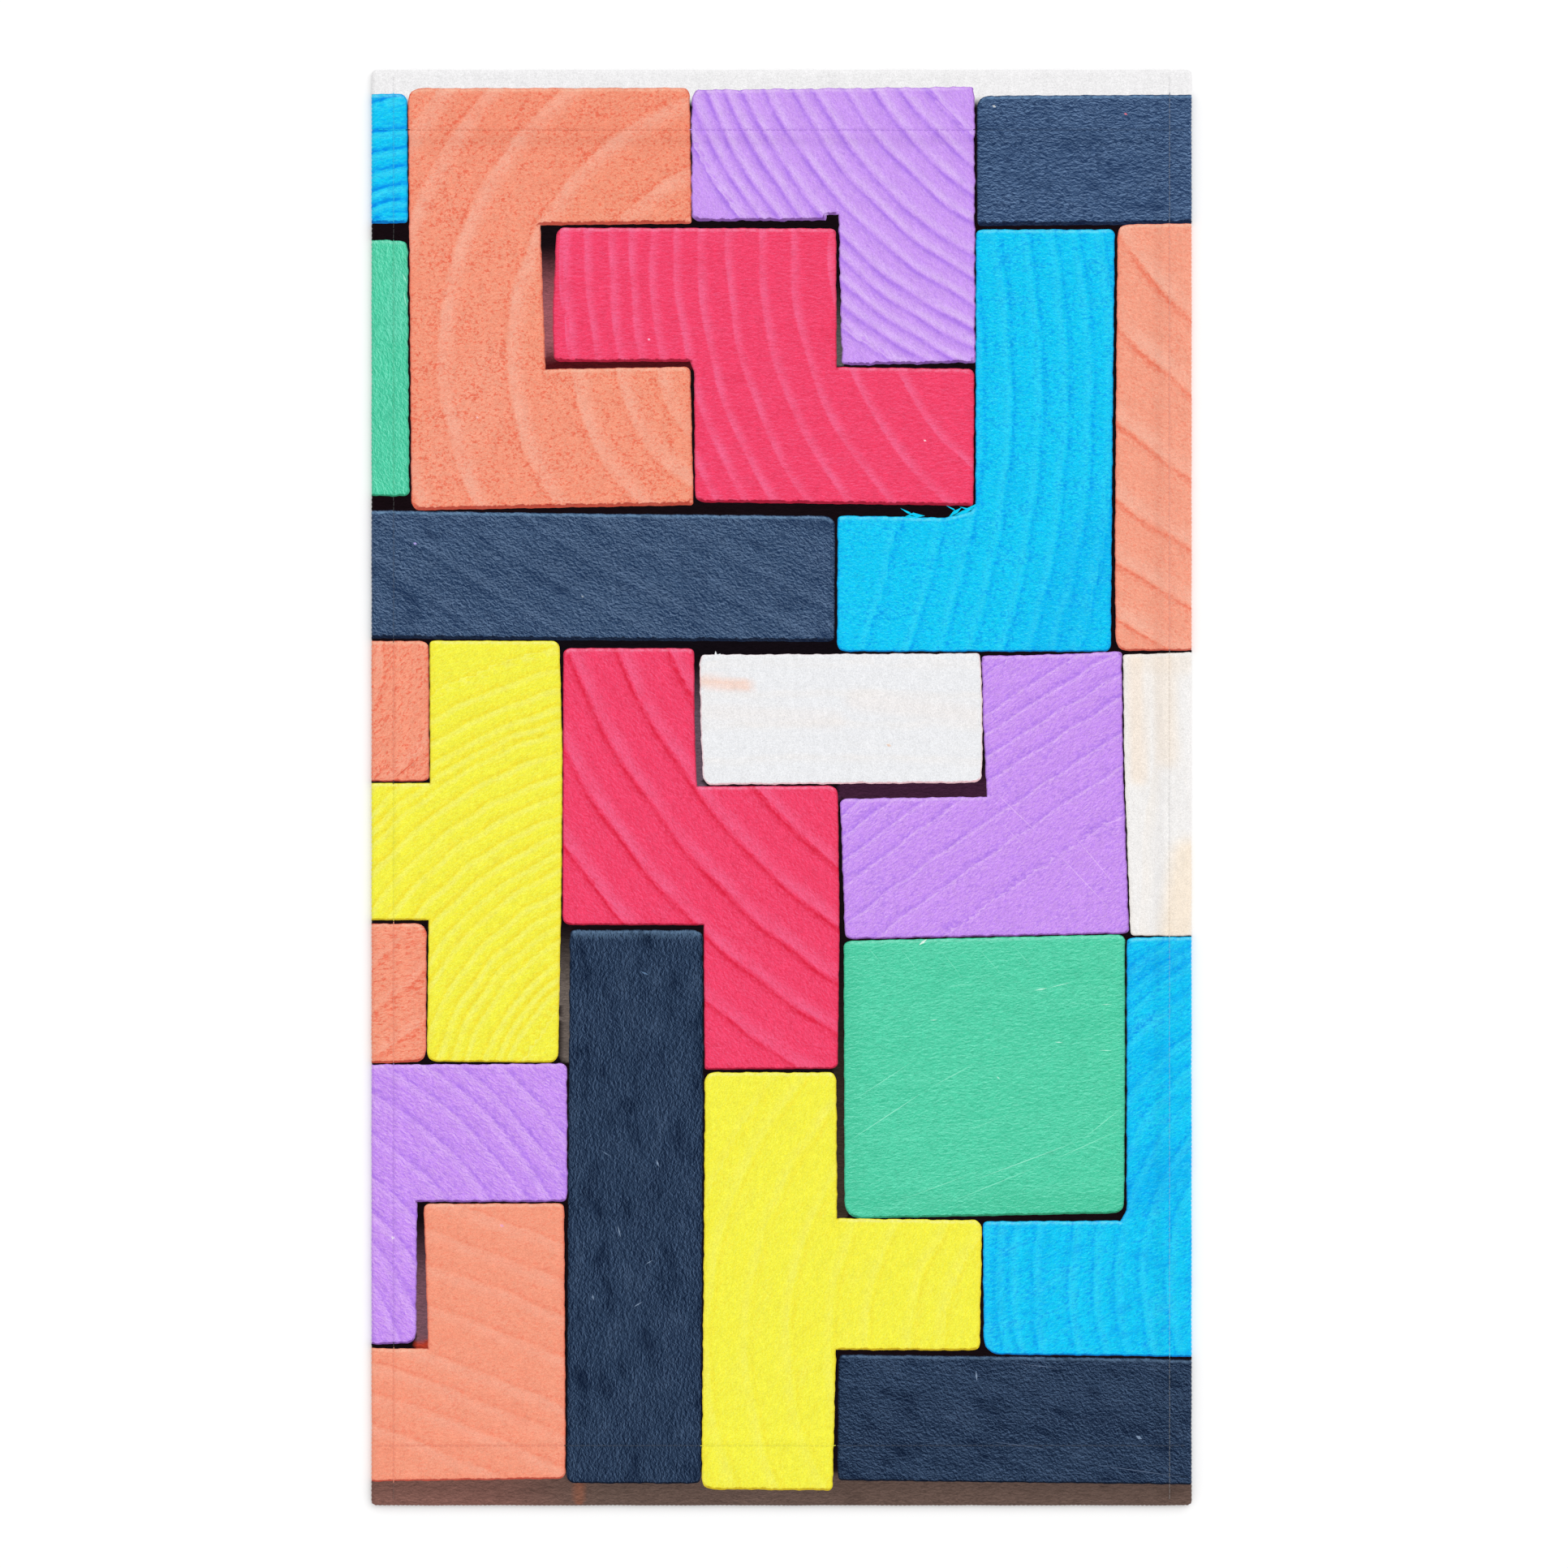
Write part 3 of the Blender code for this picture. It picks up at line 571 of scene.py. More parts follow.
def seam_pull(inset, seam, along):
    """How far the seam draws the face down: a shallow trough, deeper at each needle hole."""
    trough = np.exp(-(((inset - seam) / GROOVE_WIDTH) ** 2))
    return GROOVE_DEPTH * trough * (0.86 + 0.14 * np.cos(math.tau * along / STITCH_PITCH))


def pucker(inset, seam, along, phase):
    """Small gathers in the hem beside a seam."""
    reach = np.exp(-(((inset - seam) / PUCKER_REACH) ** 2))
    short = np.sin(math.tau * along / (7.4 * MM) + phase)
    long = 0.7 * np.sin(math.tau * along / (11.9 * MM) + 2 * phase)
    return PUCKER_HEIGHT * reach * (short + long)


def face_height(x, y):
    """How high the printed face lies."""
    side, end = HALF_WIDTH - np.abs(x), HALF_LENGTH - np.abs(y)
    over = np.maximum(raised(side, SIDE_FOLD), raised(end, END_FOLD))
    height = FIELD_TOP + RISE * over
    height = height + FIELD_SWELL * (1 - over) * (1 + ripple(x, y, FIELD_WAVES)) / 2
    height = height + CLOTH_SWELL * ripple(x, y, CLOTH_WAVES)
    height = height - np.maximum(seam_pull(side, SIDE_SEAM, y), seam_pull(end, END_SEAM, x))
    return height + pucker(side, SIDE_SEAM, y, 0.6) + pucker(end, END_SEAM, x, 1.7)


def scallops(x, y):
    """The edge's small rounded lumps, deepest where two rows of pile part."""
    along = np.where(np.abs(x) / HALF_WIDTH > np.abs(y) / HALF_LENGTH, y, x)
    lumps = np.abs(np.sin(math.pi * along / SCALLOP_PITCH + 0.8 * np.sin(along / 0.013))) ** 0.7
    drift = 0.35 * np.sin(along / 0.0093 + 1.3) + 0.25 * np.sin(along / 0.0041)
    return SCALLOP_DEPTH * (lumps - 1) + SCALLOP_DRIFT * (drift - 0.6)


def lay_down(x, y):
    """Where points of the rolled-out face come to lie."""
    inset, qx, qy, nx, ny = edge_frame(x, y)
    turn = np.clip((FOLD_RADIUS - inset) / FOLD_RADIUS, 0.0, math.pi)
    folded = turn > 0
    over_edge = FOLD_RADIUS * (1 - np.sin(turn))
    reach = CORNER_RADIUS - over_edge + scallops(x, y) * np.sin(turn)
    px = np.where(folded, qx + nx * reach, x)
    py = np.where(folded, qy + ny * reach, y)
    top = face_height(np.clip(px, -HALF_WIDTH, HALF_WIDTH), np.clip(py, -HALF_LENGTH, HALF_LENGTH))
    under = np.maximum(top - FOLD_RADIUS * (1 - np.cos(turn)), TABLE_CLEARANCE)
    return px, py, np.where(folded, under, top)


# ---- The printed face's mesh ----

GRID_STEP = 2.9 * MM
EDGE_STEP = 0.56 * MM
RIM_CORNER_STEPS = 16
WIDE_HEM = 15 * MM  # a seam further in than this has room for more grid lines outside it
MERGE_DISTANCE = 1e-7
THIN_TRIANGLE = 1e-13
PLAIN_WOOD = 90.0  # how far the wood goes on without a ring before the first one and after the last
GRAIN_STRIDE = 700  # each block takes its grain this much further along the noise
FAR = 99.0  # further than any rim or ring reaches


def to_world(outline):
    """An outline in print millimetres to world metres, going round counter-clockwise."""
    line = [(p[0] * MM - HALF_WIDTH, HALF_LENGTH - p[1] * MM) for p in outline]
    before = line[-1:] + line[:-1]
    turning = sum(a[0] * b[1] - b[0] * a[1] for a, b in zip(before, line))
    return line if turning > 0 else line[::-1]


def to_print(x, y):
    return (x + HALF_WIDTH) / MM, (HALF_LENGTH - y) / MM


def lines_across(half, seam, fold):
    """Grid lines in from both edges: close together where the cloth bends, evenly spaced in the field."""
    bends = [3.2 * MM, 5.6 * MM, 8.0 * MM]
    bends += [seam + offset * MM for offset in (-1.7, -1.1, -0.7, -0.35, 0, 0.35, 0.7, 1.1)]
    bends += [fold + GAP + SLOPE * share for share in (0, 0.17, 0.34, 0.5, 0.66, 0.83, 1)]
    if seam > WIDE_HEM:
        bends += [value * MM for value in (10.8, 13.6, 16.4, 19.2, 22.0, 24.8, 27.0)]
    bends = sorted(bends)
    inner = half - bends[-1]
    count = round(2 * inner / GRID_STEP)
    field = [-inner + 2 * inner * k / count for k in range(1, count)]
    return [-half + b for b in bends] + field + [half - b for b in reversed(bends)]


def rim_loop(inset):
    """Points round the towel at one inset, going round its corners."""
    core_x, core_y = HALF_WIDTH - CORNER_RADIUS, HALF_LENGTH - CORNER_RADIUS
    radius = CORNER_RADIUS - inset
    corners = [(core_x, core_y), (-core_x, core_y), (-core_x, -core_y), (core_x, -core_y)]
    loop = []
    for k, (cx, cy) in enumerate(corners):
        for step in range(RIM_CORNER_STEPS + 1):
            angle = math.pi / 2 * (k + step / RIM_CORNER_STEPS)
            loop.append((cx + radius * math.cos(angle), cy + radius * math.sin(angle)))
        here = loop[-1]
        next_x, next_y = corners[(k + 1) % 4]
        there = (next_x + radius * math.cos(angle), next_y + radius * math.sin(angle))
        count = round(math.dist(here, there) / EDGE_STEP)
        for step in range(1, count):
            t = step / count
            loop.append((here[0] * (1 - t) + there[0] * t, here[1] * (1 - t) + there[1] * t))
    return loop


def face_points():
    """The rolled-out face's points, the outline round it, and each block's and scratch's outline."""
    shapes = [block_outline(b, index) for index, b in enumerate(BLOCKS)]
    shapes += [shape for _, shape in SPLINTERS]
    shapes += [scratch_outline(scratch) for scratch in SCRATCHES]
    points = []
    outlines = []
    for line in [rim_loop(-WRAP)] + [to_world(shape) for shape in shapes]:
        outlines.append(list(range(len(points), len(points) + len(line))))
        points += line
    for step in range(FOLD_STEPS):
        points += rim_loop(FOLD_RADIUS * (1 - math.pi * step / FOLD_STEPS))
    xs = lines_across(HALF_WIDTH, SIDE_SEAM, SIDE_FOLD)
    ys = lines_across(HALF_LENGTH, END_SEAM, END_FOLD)
    points += [(x, y) for y in ys for x in xs]
    return points, outlines


def triangulate():
    """Triangles of the rolled-out face, and for each the outline that it lies in: 0 for a gap, then the
    blocks, then the splinters and scratches."""
    points, outlines = face_points()
    result = delaunay_2d_cdt([Vector(p) for p in points], [], outlines, 0, MERGE_DISTANCE, True)
    verts, triangles, inside = result[0], result[2], result[5]
    flat = np.array([(v.x, v.y) for v in verts])
    kept, labels = [], []
    for triangle, holders in zip(triangles, inside):
        if 0 in holders:
            kept.append(triangle)
            labels.append(max(holders))
    triangles = np.array(kept)
    corners = flat[triangles]
    ab, ac = corners[:, 1] - corners[:, 0], corners[:, 2] - corners[:, 0]
    area = ab[:, 0] * ac[:, 1] - ab[:, 1] * ac[:, 0]
    solid = np.abs(area) > THIN_TRIANGLE
    triangles, area = triangles[solid], area[solid]
    labels = np.array(labels)[solid]
    triangles[area < 0] = triangles[area < 0][:, ::-1]
    return flat, triangles, labels


def outline_distance(x, y, outline):
    """How far each print point lies from a closed outline, and how far down its nearest stretch faces."""
    line = np.array([(p[0], p[1]) for p in outline])
    start, end = line, np.roll(line, -1, axis=0)
    along = end - start
    length = np.maximum(np.hypot(along[:, 0], along[:, 1]), 1e-9)
    turning = np.sum(start[:, 0] * end[:, 1] - end[:, 0] * start[:, 1])
    facing = np.stack([along[:, 1], -along[:, 0]], axis=1) / length[:, None] * np.sign(turning)
    best = np.full(len(x), np.inf)
    facing_y = np.zeros(len(x))
    for a, v, size, face in zip(start, along, length, facing):
        share = np.clip(((x - a[0]) * v[0] + (y - a[1]) * v[1]) / size**2, 0, 1)
        distance = np.hypot(x - a[0] - share * v[0], y - a[1] - share * v[1])
        nearer = distance < best
        best = np.where(nearer, distance, best)
        facing_y = np.where(nearer, face[1], facing_y)
    return best, facing_y


def wood_values(b, x, y):
    """Where these print points lie in a block's rings and along its grain: how many rings out from its
    centre, how far apart the rings are there, and the distances along and across the grain."""
    cx, cy, radii = b["rings"]
    warp = 0.9 * ripple(x, y, [(61.0, 83.0, b["grain"]), (-47.0, 39.0, 1 + b["grain"]), (23.0, -71.0, 2.0)])
    radius = np.hypot(x - cx, y - cy) + warp
    turned = radii[0] > radii[-1]
    radii = sorted(radii)
    radii = [radii[0] - PLAIN_WOOD, *radii, radii[-1] + PLAIN_WOOD]
    phase = np.interp(radius, radii, np.arange(len(radii), dtype=float))
    ring = np.clip(phase.astype(int), 0, len(radii) - 2)
    pitch = np.diff(radii)[ring]
    phase = len(radii) - phase if turned else phase
    angle = math.radians(b["grain"])
    along = x * math.cos(angle) + y * math.sin(angle)
    across = -x * math.sin(angle) + y * math.cos(angle)
    return phase, pitch, along, across


COLOUR_LAYERS = ("paint", "pale", "dark", "shade", "light")
VECTOR_LAYERS = ("grain", "wood", "rim", "ring", "tooth")


class PrintLayer:
    """The print's values for a set of corners, each row filled in from the block that it lies in."""

    def __init__(self, count):
        for name in COLOUR_LAYERS + VECTOR_LAYERS:
            setattr(self, name, np.zeros((count, 3)))
        self.ring += 1.0
        self.tooth += 1.0

    def fill_plain(self, rows, colour):
        for values in (self.paint, self.pale, self.dark, self.shade, self.light):
            values[rows] = colour

    def fill_gaps(self, rows, x, y):
        """What lies between the blocks, with a little grain of its own that runs from side to side."""
        colour = gap_colour(x, y)
        self.fill_plain(rows, colour)
        plain = 1 - smooth(y, TABLE_EDGE, TABLE_EDGE + 4)[:, None]  # the white table hardly shows its grain
        self.pale[rows] = colour * (1.45 - 0.42 * plain)
        self.dark[rows] = colour * (0.50 + 0.42 * plain)
        self.grain[rows] = np.stack([np.zeros(len(x)), x, y], axis=1)
        self.wood[rows] = (0.0, 0.0, 0.5)
        self.rim[rows] = (FAR, 0.0, 0.7)
        self.ring[rows] = (FAR, 1.0, 0.0)
        self.tooth[rows] = (0.9, 0.45, 0.0)

    def fill_block(self, rows, index, x, y):
        b = BLOCKS[index]
        tones = [ink(tone) for tone in TONES[b["tone"]]]
        for values, tone in zip((self.paint, self.pale, self.dark, self.shade, self.light), tones):
            values[rows] = tone
        self.paint[rows] = stained(b["name"], self.paint[rows], x, y)
        phase, pitch, along, across = wood_values(b, x, y)
        self.grain[rows] = np.stack([phase, along + GRAIN_STRIDE * index, across], axis=1)
        self.wood[rows] = (b["band"], b["line"], b["specks"])
        reach, after = np.full(len(x), b["reach"]), np.full(len(x), b["after"])
        self.ring[rows] = np.stack([pitch, reach, after], axis=1)
        self.tooth[rows] = (b["tooth"], 1 / b["stretch"], b["side"])
        distance, facing_y = outline_distance(x, y, block_outline(b, index))
        self.rim[rows] = np.stack([distance, -facing_y, np.full(len(x), b["mottle"])], axis=1)


def print_layer(x, y, labels):
    """The print at these print points; labels say which outline each lies in."""
    layer = PrintLayer(len(x))
    gaps = np.flatnonzero(labels == 0)
    layer.fill_gaps(gaps, x[gaps], y[gaps])
    for index in range(len(BLOCKS)):
        rows = np.flatnonzero(labels == index + 1)
        if len(rows):
            layer.fill_block(rows, index, x[rows], y[rows])
    first = len(BLOCKS) + 1
    marks = [TONES[tone][0] for tone, _ in SPLINTERS] + [s[5] for s in SCRATCHES]
    for k, colour in enumerate(marks):
        rows = np.flatnonzero(labels == first + k)
        layer.fill_plain(rows, ink(colour))
        layer.rim[rows] = (FAR, 0.0, 0.2)
        layer.ring[rows] = (FAR, 1.0, 0.0)
    return layer


def store_colours(mesh, name, colours):
    """Write one colour onto each of a mesh's corners."""
    attribute = mesh.attributes.new(name, "FLOAT_COLOR", "CORNER")
    attribute.data.foreach_set("color", np.hstack([colours, np.ones((len(colours), 1))]).ravel())


def store_print(mesh, layer, rows):
    """Write the print's values onto a mesh's corners."""
    for name in COLOUR_LAYERS:
        store_colours(mesh, name, getattr(layer, name)[rows])
    for name in VECTOR_LAYERS:
        attribute = mesh.attributes.new(name, "FLOAT_VECTOR", "CORNER")
        attribute.data.foreach_set("vector", getattr(layer, name)[rows].ravel())


# ---- Shaders ----


class Graph:
    """A material's nodes, with short ways to make the kinds used here."""

    def __init__(self, name):
        self.material = bpy.data.materials.new(name)
        self.material.use_nodes = True
        self.nodes = self.material.node_tree.nodes
        self.links = self.material.node_tree.links
        self.shader = self.nodes["Principled BSDF"]

    def put(self, socket, value):
        if isinstance(value, bpy.types.NodeSocket):
            self.links.new(value, socket)
        else:
            socket.default_value = value

    def attribute(self, name, output="Vector"):
        node = self.nodes.new("ShaderNodeAttribute")
        node.attribute_name = name
        return node.outputs[output]

    def parts(self, vector):
        node = self.nodes.new("ShaderNodeSeparateXYZ")
        self.put(node.inputs[0], vector)
        return node.outputs

    def vector(self, x, y, z):
        node = self.nodes.new("ShaderNodeCombineXYZ")
        for socket, value in zip(node.inputs, (x, y, z)):
            self.put(socket, value)
        return node.outputs[0]

    def math(self, operation, *values, clamp=False):
        node = self.nodes.new("ShaderNodeMath")
        node.operation = operation
        node.use_clamp = clamp
        for socket, value in zip(node.inputs, values):
            self.put(socket, value)
        return node.outputs[0]

    def times(self, a, b, clamp=False):
        return self.math("MULTIPLY", a, b, clamp=clamp)

    def plus(self, a, b, clamp=False):
        return self.math("ADD", a, b, clamp=clamp)

    def minus(self, a, b, clamp=False):
        return self.math("SUBTRACT", a, b, clamp=clamp)

    def span(self, value, low, high, start=0.0, end=1.0, kind="SMOOTHSTEP"):
        """start where value is low, end where it is high."""
        node = self.nodes.new("ShaderNodeMapRange")
        node.interpolation_type = kind
        for socket, number in zip(node.inputs, (value, low, high, start, end)):
            self.put(socket, number)
        return node.outputs[0]

    def noise(self, vector, scale, detail=2.0, roughness=0.5, distortion=0.0):
        node = self.nodes.new("ShaderNodeTexNoise")
        for name, value in (
            ("Vector", vector), ("Scale", scale), ("Detail", detail), ("Roughness", roughness),
            ("Distortion", distortion),
        ):
            self.put(node.inputs[name], value)
        return node.outputs["Fac"]

    def voronoi(self, vector, scale, randomness=1.0):
        node = self.nodes.new("ShaderNodeTexVoronoi")
        node.feature = "F1"
        for name, value in (("Vector", vector), ("Scale", scale), ("Randomness", randomness)):
            self.put(node.inputs[name], value)
        return node.outputs["Distance"]

    def mix(self, share, a, b, kind="MIX"):
        node = self.nodes.new("ShaderNodeMix")
        node.data_type = "RGBA"
        node.blend_type = kind
        self.put(node.inputs["Factor"], share)
        self.put(node.inputs[6], a)
        self.put(node.inputs[7], b)
        return node.outputs[2]

    def scaled(self, vector, factors):
        node = self.nodes.new("ShaderNodeVectorMath")
        node.operation = "MULTIPLY"
        self.put(node.inputs[0], vector)
        self.put(node.inputs[1], factors)
        return node.outputs[0]

    def place(self):
        """Object coordinates in millimetres."""
        node = self.nodes.new("ShaderNodeTexCoord")
        return self.scaled(node.outputs["Object"], (1000.0, 1000.0, 1000.0))

    def bump(self, height, distance, strength=1.0, after=None):
        node = self.nodes.new("ShaderNodeBump")
        self.put(node.inputs["Strength"], strength)
        self.put(node.inputs["Distance"], distance)
        self.put(node.inputs["Height"], height)
        if after is not None:
            self.put(node.inputs["Normal"], after)
        return node.outputs[0]

    def finish(self, colour, normal=None, roughness=0.9, sheen=0.0, sheen_roughness=0.5, specular=0.2):
        self.put(self.shader.inputs["Base Color"], colour)
        self.put(self.shader.inputs["Roughness"], roughness)
        self.put(self.shader.inputs["Sheen Weight"], sheen)
        self.put(self.shader.inputs["Sheen Roughness"], sheen_roughness)
        self.put(self.shader.inputs["Specular IOR Level"], specular)
        if normal is not None:
            self.put(self.shader.inputs["Normal"], normal)
        return self.material


def opaque(rgb):
    return (*(float(v) for v in rgb), 1.0)


def on_grain(g, along, across, along_rate, across_rate, layer):
    """A place in a noise, scaled along and across the grain, on a layer of its own."""
    return g.vector(g.times(along, along_rate), g.times(across, across_rate), layer)


def ring_shares(g, phase, along, across, band, line):
    """How much pale paint the growth rings bring in at a point, and how far it lies in the zone of dark
    grains that follows each ring, and in that zone's darkest line."""
    pitch, reach, after = g.parts(g.attribute("ring"))
    slow = g.noise(on_grain(g, along, across, 0.06, 0.06, 0.0), 1.0, 2.0)
    frayed = g.noise(on_grain(g, along, across, 0.5, 0.5, 2.0), 1.0, 2.0)
    shift = g.math("DIVIDE", g.times(g.minus(frayed, 0.5), 1.3), pitch)
    share = g.math("FRACT", g.plus(phase, shift))
    outside = g.times(share, pitch)
    inside = g.minus(pitch, outside)
    uneven = g.span(slow, 0.32, 0.68, 0.55, 1.15)
    rise = g.math("DIVIDE", inside, reach)
    pale = g.times(g.span(rise, 1.0, 0.25), g.span(inside, -0.2, 1.3))
    pale = g.times(g.times(pale, band), uneven)
    nearest = g.math("MINIMUM", inside, outside)
    broken = g.span(frayed, 0.36, 0.60, 0.25, 1.15)
    pale_line = g.times(g.span(nearest, 1.0, 0.1), g.times(line, broken))
    zone = g.times(g.span(outside, 6.0, 1.2), g.span(outside, -0.2, 1.4))
    zone = g.times(g.times(zone, after), uneven)
    core = g.times(zone, g.span(outside, 3.8, 1.0))
    return g.plus(pale, pale_line, clamp=True), zone, core


def printed_colour(g):
    """The printed picture's colour before the pile is laid over it."""
    paint, pale, dark, shade, light = (g.attribute(name, "Color") for name in COLOUR_LAYERS)
    phase, along, across = g.parts(g.attribute("grain"))
    band, line, specks = g.parts(g.attribute("wood"))
    distance, facing_up, mottle = g.parts(g.attribute("rim"))
    tooth, squeeze, side = g.parts(g.attribute("tooth"))

    pale_share, dark_zone, dark_line = ring_shares(g, phase, along, across, band, line)
    broad = g.noise(on_grain(g, along, across, 0.045, 0.09, 9.0), 1.0, 4.0, 0.62)

    # Grains of the wood, raised and lit from above: the same noise a little further on tells its slope.
    squeezed = g.times(along, squeeze)
    blots = g.noise(g.vector(squeezed, across, 7.0), 0.74, 3.0, 0.68, 0.6)
    here = g.noise(g.vector(squeezed, across, 3.0), 0.80, 3.0, 0.66, 0.5)
    further = g.noise(g.vector(squeezed, g.plus(across, 0.42), 3.0), 0.80, 3.0, 0.66, 0.5)
    slope = g.times(g.minus(further, here), g.times(tooth, 3.4))
    lit_grain = g.math("MAXIMUM", slope, 0.0)
    shaded_grain = g.math("MAXIMUM", g.times(slope, -1.0), 0.0)
    clustered = g.plus(blots, g.times(g.minus(broad, 0.5), 0.30))
    clustered = g.plus(clustered, g.times(dark_zone, 0.11))
    quiet = g.minus(1.0, g.times(pale_share, 0.85))
    speck = g.times(g.span(clustered, 0.47, 0.70), g.times(specks, quiet))
    lighter = g.times(g.span(broad, 0.50, 0.76), g.times(mottle, 0.5))
    darker = g.times(g.span(broad, 0.50, 0.26), g.times(mottle, 0.7))

    colour = g.mix(pale_share, paint, pale)
    colour = g.mix(g.plus(lighter, lit_grain, clamp=True), colour, pale)
    colour = g.mix(g.plus(speck, g.times(dark_line, 0.50), clamp=True), colour, dark)
    colour = g.mix(g.plus(darker, shaded_grain, clamp=True), colour, dark)

    # The block's rim: lit along its upper edge, shaded down its lower side, a dark line beside it.
    up = g.span(facing_up, 0.25, 0.9)
    down = g.span(facing_up, -0.25, -0.9)
    beside = g.minus(g.minus(1.0, up), down, clamp=True)
    ragged = g.noise(g.vector(along, across, 5.0), 0.42, 2.0)
    uneven = g.span(ragged, 0.3, 0.7, 0.3, 1.0)
    lit = g.times(g.span(distance, 0.15, 0.7), g.span(distance, 0.9, 2.3, 1.0, 0.0))
    lit = g.times(g.times(lit, up), g.times(uneven, 0.6))
    colour = g.mix(lit, colour, light)
    fall = g.minus(distance, g.times(side, g.span(ragged, 0.3, 0.7, 0.6, 1.0)))
    lower = g.times(g.span(fall, 0.35, -0.25), down)
    colour = g.mix(g.times(lower, 0.85), colour, shade)
    soft = g.times(g.span(distance, 3.2, 0.0), g.minus(1.0, up))
    colour = g.mix(g.times(soft, 0.22), colour, dark)
    side_line = g.times(g.span(distance, 0.9, 0.1), beside)
    colour = g.mix(g.times(side_line, 0.5), colour, shade)
    corner_line = g.times(g.span(distance, 0.4, 0.0), up)
    return g.mix(g.times(corner_line, 0.3), colour, shade)


def pile_material():
    """Sheared printed pile, its tufts painted lighter where they stand high and darker between them, as
    light and shade.
    """
    g = Graph("printed pile")
    where = g.place()
    tufts = g.noise(where, 1.05, 3.0, 0.65)
    nap = g.noise(g.scaled(where, (1.0, 0.55, 1.0)), 0.32, 2.0)
    fine = g.noise(where, 2.1, 1.0)
    lie = g.plus(g.times(g.plus(tufts, fine), 0.5), g.times(nap, 0.25))
    # The print is made lighter on the high tufts and darker between them: painted light and shade of the
    # pile.
    tuft_light_and_shade = g.span(lie, 0.40, 0.86, 0.85, 1.14, "LINEAR")
    colour = g.mix(1.0, printed_colour(g), g.vector(tuft_light_and_shade, tuft_light_and_shade, tuft_light_and_shade), "MULTIPLY")
    height = g.plus(tufts, g.times(fine, 0.5))
    return g.finish(colour, g.bump(height, 0.00022, 0.6), roughness=0.95, sheen=0.04, specular=0.02)


def cotton_material(name, tuft_scale, depth, colour):
    """White cotton loops, with shade painted between them."""

    def darker(levels):
        return opaque(ink([value - levels for value in colour]))

    g = Graph(name)
    where = g.place()
    loops = g.voronoi(g.scaled(where, (1.0, 0.72, 1.0)), tuft_scale, 0.55)
    strand = g.noise(where, 2.2, 3.0, 0.6)
    soil = g.noise(where, 0.012, 2.0)
    hollow = g.span(loops, 0.15, 0.85, 1.0, 0.0)
    base = g.mix(g.span(soil, 0.35, 0.7), darker(0), darker(6))
    # Off the tops of the loops the cotton is painted a little darker: painted shade.
    base = g.mix(g.times(hollow, 0.16, clamp=True), darker(34), base)
    base = g.mix(0.16, base, darker(0))
    height = g.plus(hollow, g.times(strand, 0.5))
    # The low places between the loops are painted darker still: painted shade.
    shaded = g.mix(g.span(height, 0.35, 1.15, 0.16, 0.0), base, darker(70))
    return g.finish(shaded, g.bump(height, depth, 0.8), roughness=0.95, sheen=0.2, specular=0.15)


def thread_material(name, printed):
    """Spun sewing thread, with light and shade painted along its twisted ply; a printed one carries the
    print's ink.
    """
    g = Graph(name)
    where = g.place()
    twist = g.noise(g.scaled(where, (3.0, 3.0, 3.0)), 1.6, 2.0)
    if printed:
        # The print's ink is made paler on the ply's ridges and darker in its grooves: painted light and
        # shade.
        ply_light_and_shade = g.span(twist, 0.3, 0.7, 0.90, 1.05)
        colour = g.mix(1.0, g.attribute("paint", "Color"), g.vector(ply_light_and_shade, ply_light_and_shade, ply_light_and_shade), "MULTIPLY")
    else:
        # The white thread is painted grey in the ply's grooves and white on its ridges: painted shade.
        colour = g.mix(g.span(twist, 0.3, 0.7), opaque(ink((214, 212, 208))), opaque(ink((240, 239, 236))))
    return g.finish(colour, g.bump(twist, 0.00008, 0.7), roughness=0.7, sheen=0.05, specular=0.1)


def floor_material():
    g = Graph("pale floor")
    return g.finish((0.93, 0.93, 0.93, 1.0), roughness=0.9, specular=0.1)


# ---- Pieces ----


def mesh_object(name, verts, faces, material):
    mesh = bpy.data.meshes.new(name)
    mesh.from_pydata([tuple(v) for v in verts], [], [tuple(f) for f in faces])
    mesh.materials.append(material)
    obj = bpy.data.objects.new(name, mesh)
    bpy.context.scene.collection.objects.link(obj)
    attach(obj, "root")
    return obj


def smooth_shaded(obj):
    obj.data.polygons.foreach_set("use_smooth", [True] * len(obj.data.polygons))
    return obj


def make_face(flat, triangles, labels, material):
    """The printed face, turned round the towel's edges."""
    px, py, pz = lay_down(flat[:, 0], flat[:, 1])
    obj = mesh_object("printed_pile_face", np.stack([px, py, pz], axis=1), triangles, material)
    x, y = to_print(flat[:, 0], flat[:, 1])
    pairs, rows = np.unique(
        np.stack([triangles.ravel(), np.repeat(labels, 3)], axis=1), axis=0, return_inverse=True
    )
    layer = print_layer(x[pairs[:, 0]], y[pairs[:, 0]], pairs[:, 1])
    store_print(obj.data, layer, rows.ravel())
    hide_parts("printed_face")
    return smooth_shaded(obj)


def within(outline, x, y):
    """Whether each print point lies inside a closed outline."""
    inside = np.zeros(len(x), dtype=bool)
    before = outline[-1]
    for here in outline:
        if here.y != before.y:
            crossing = (before.x - here.x) * (y - here.y) / (before.y - here.y) + here.x
            inside ^= ((here.y > y) != (before.y > y)) & (x < crossing)
        before = here
    return inside


def print_colours(x, y):
    """The print's plain colour at each world (x, y), for the stitches and fibres that take it up."""
    x, y = to_print(np.asarray(x), np.asarray(y))
    labels = np.zeros(len(x), dtype=int)
    for index, b in enumerate(BLOCKS):
        labels[within(block_outline(b, index), x, y)] = index + 1
    return print_layer(x, y, labels).paint


def store_paint(obj, colours, corners_each):
    """One plain ink colour for each run of corners."""
    store_colours(obj.data, "paint", np.repeat(colours, corners_each, axis=0))


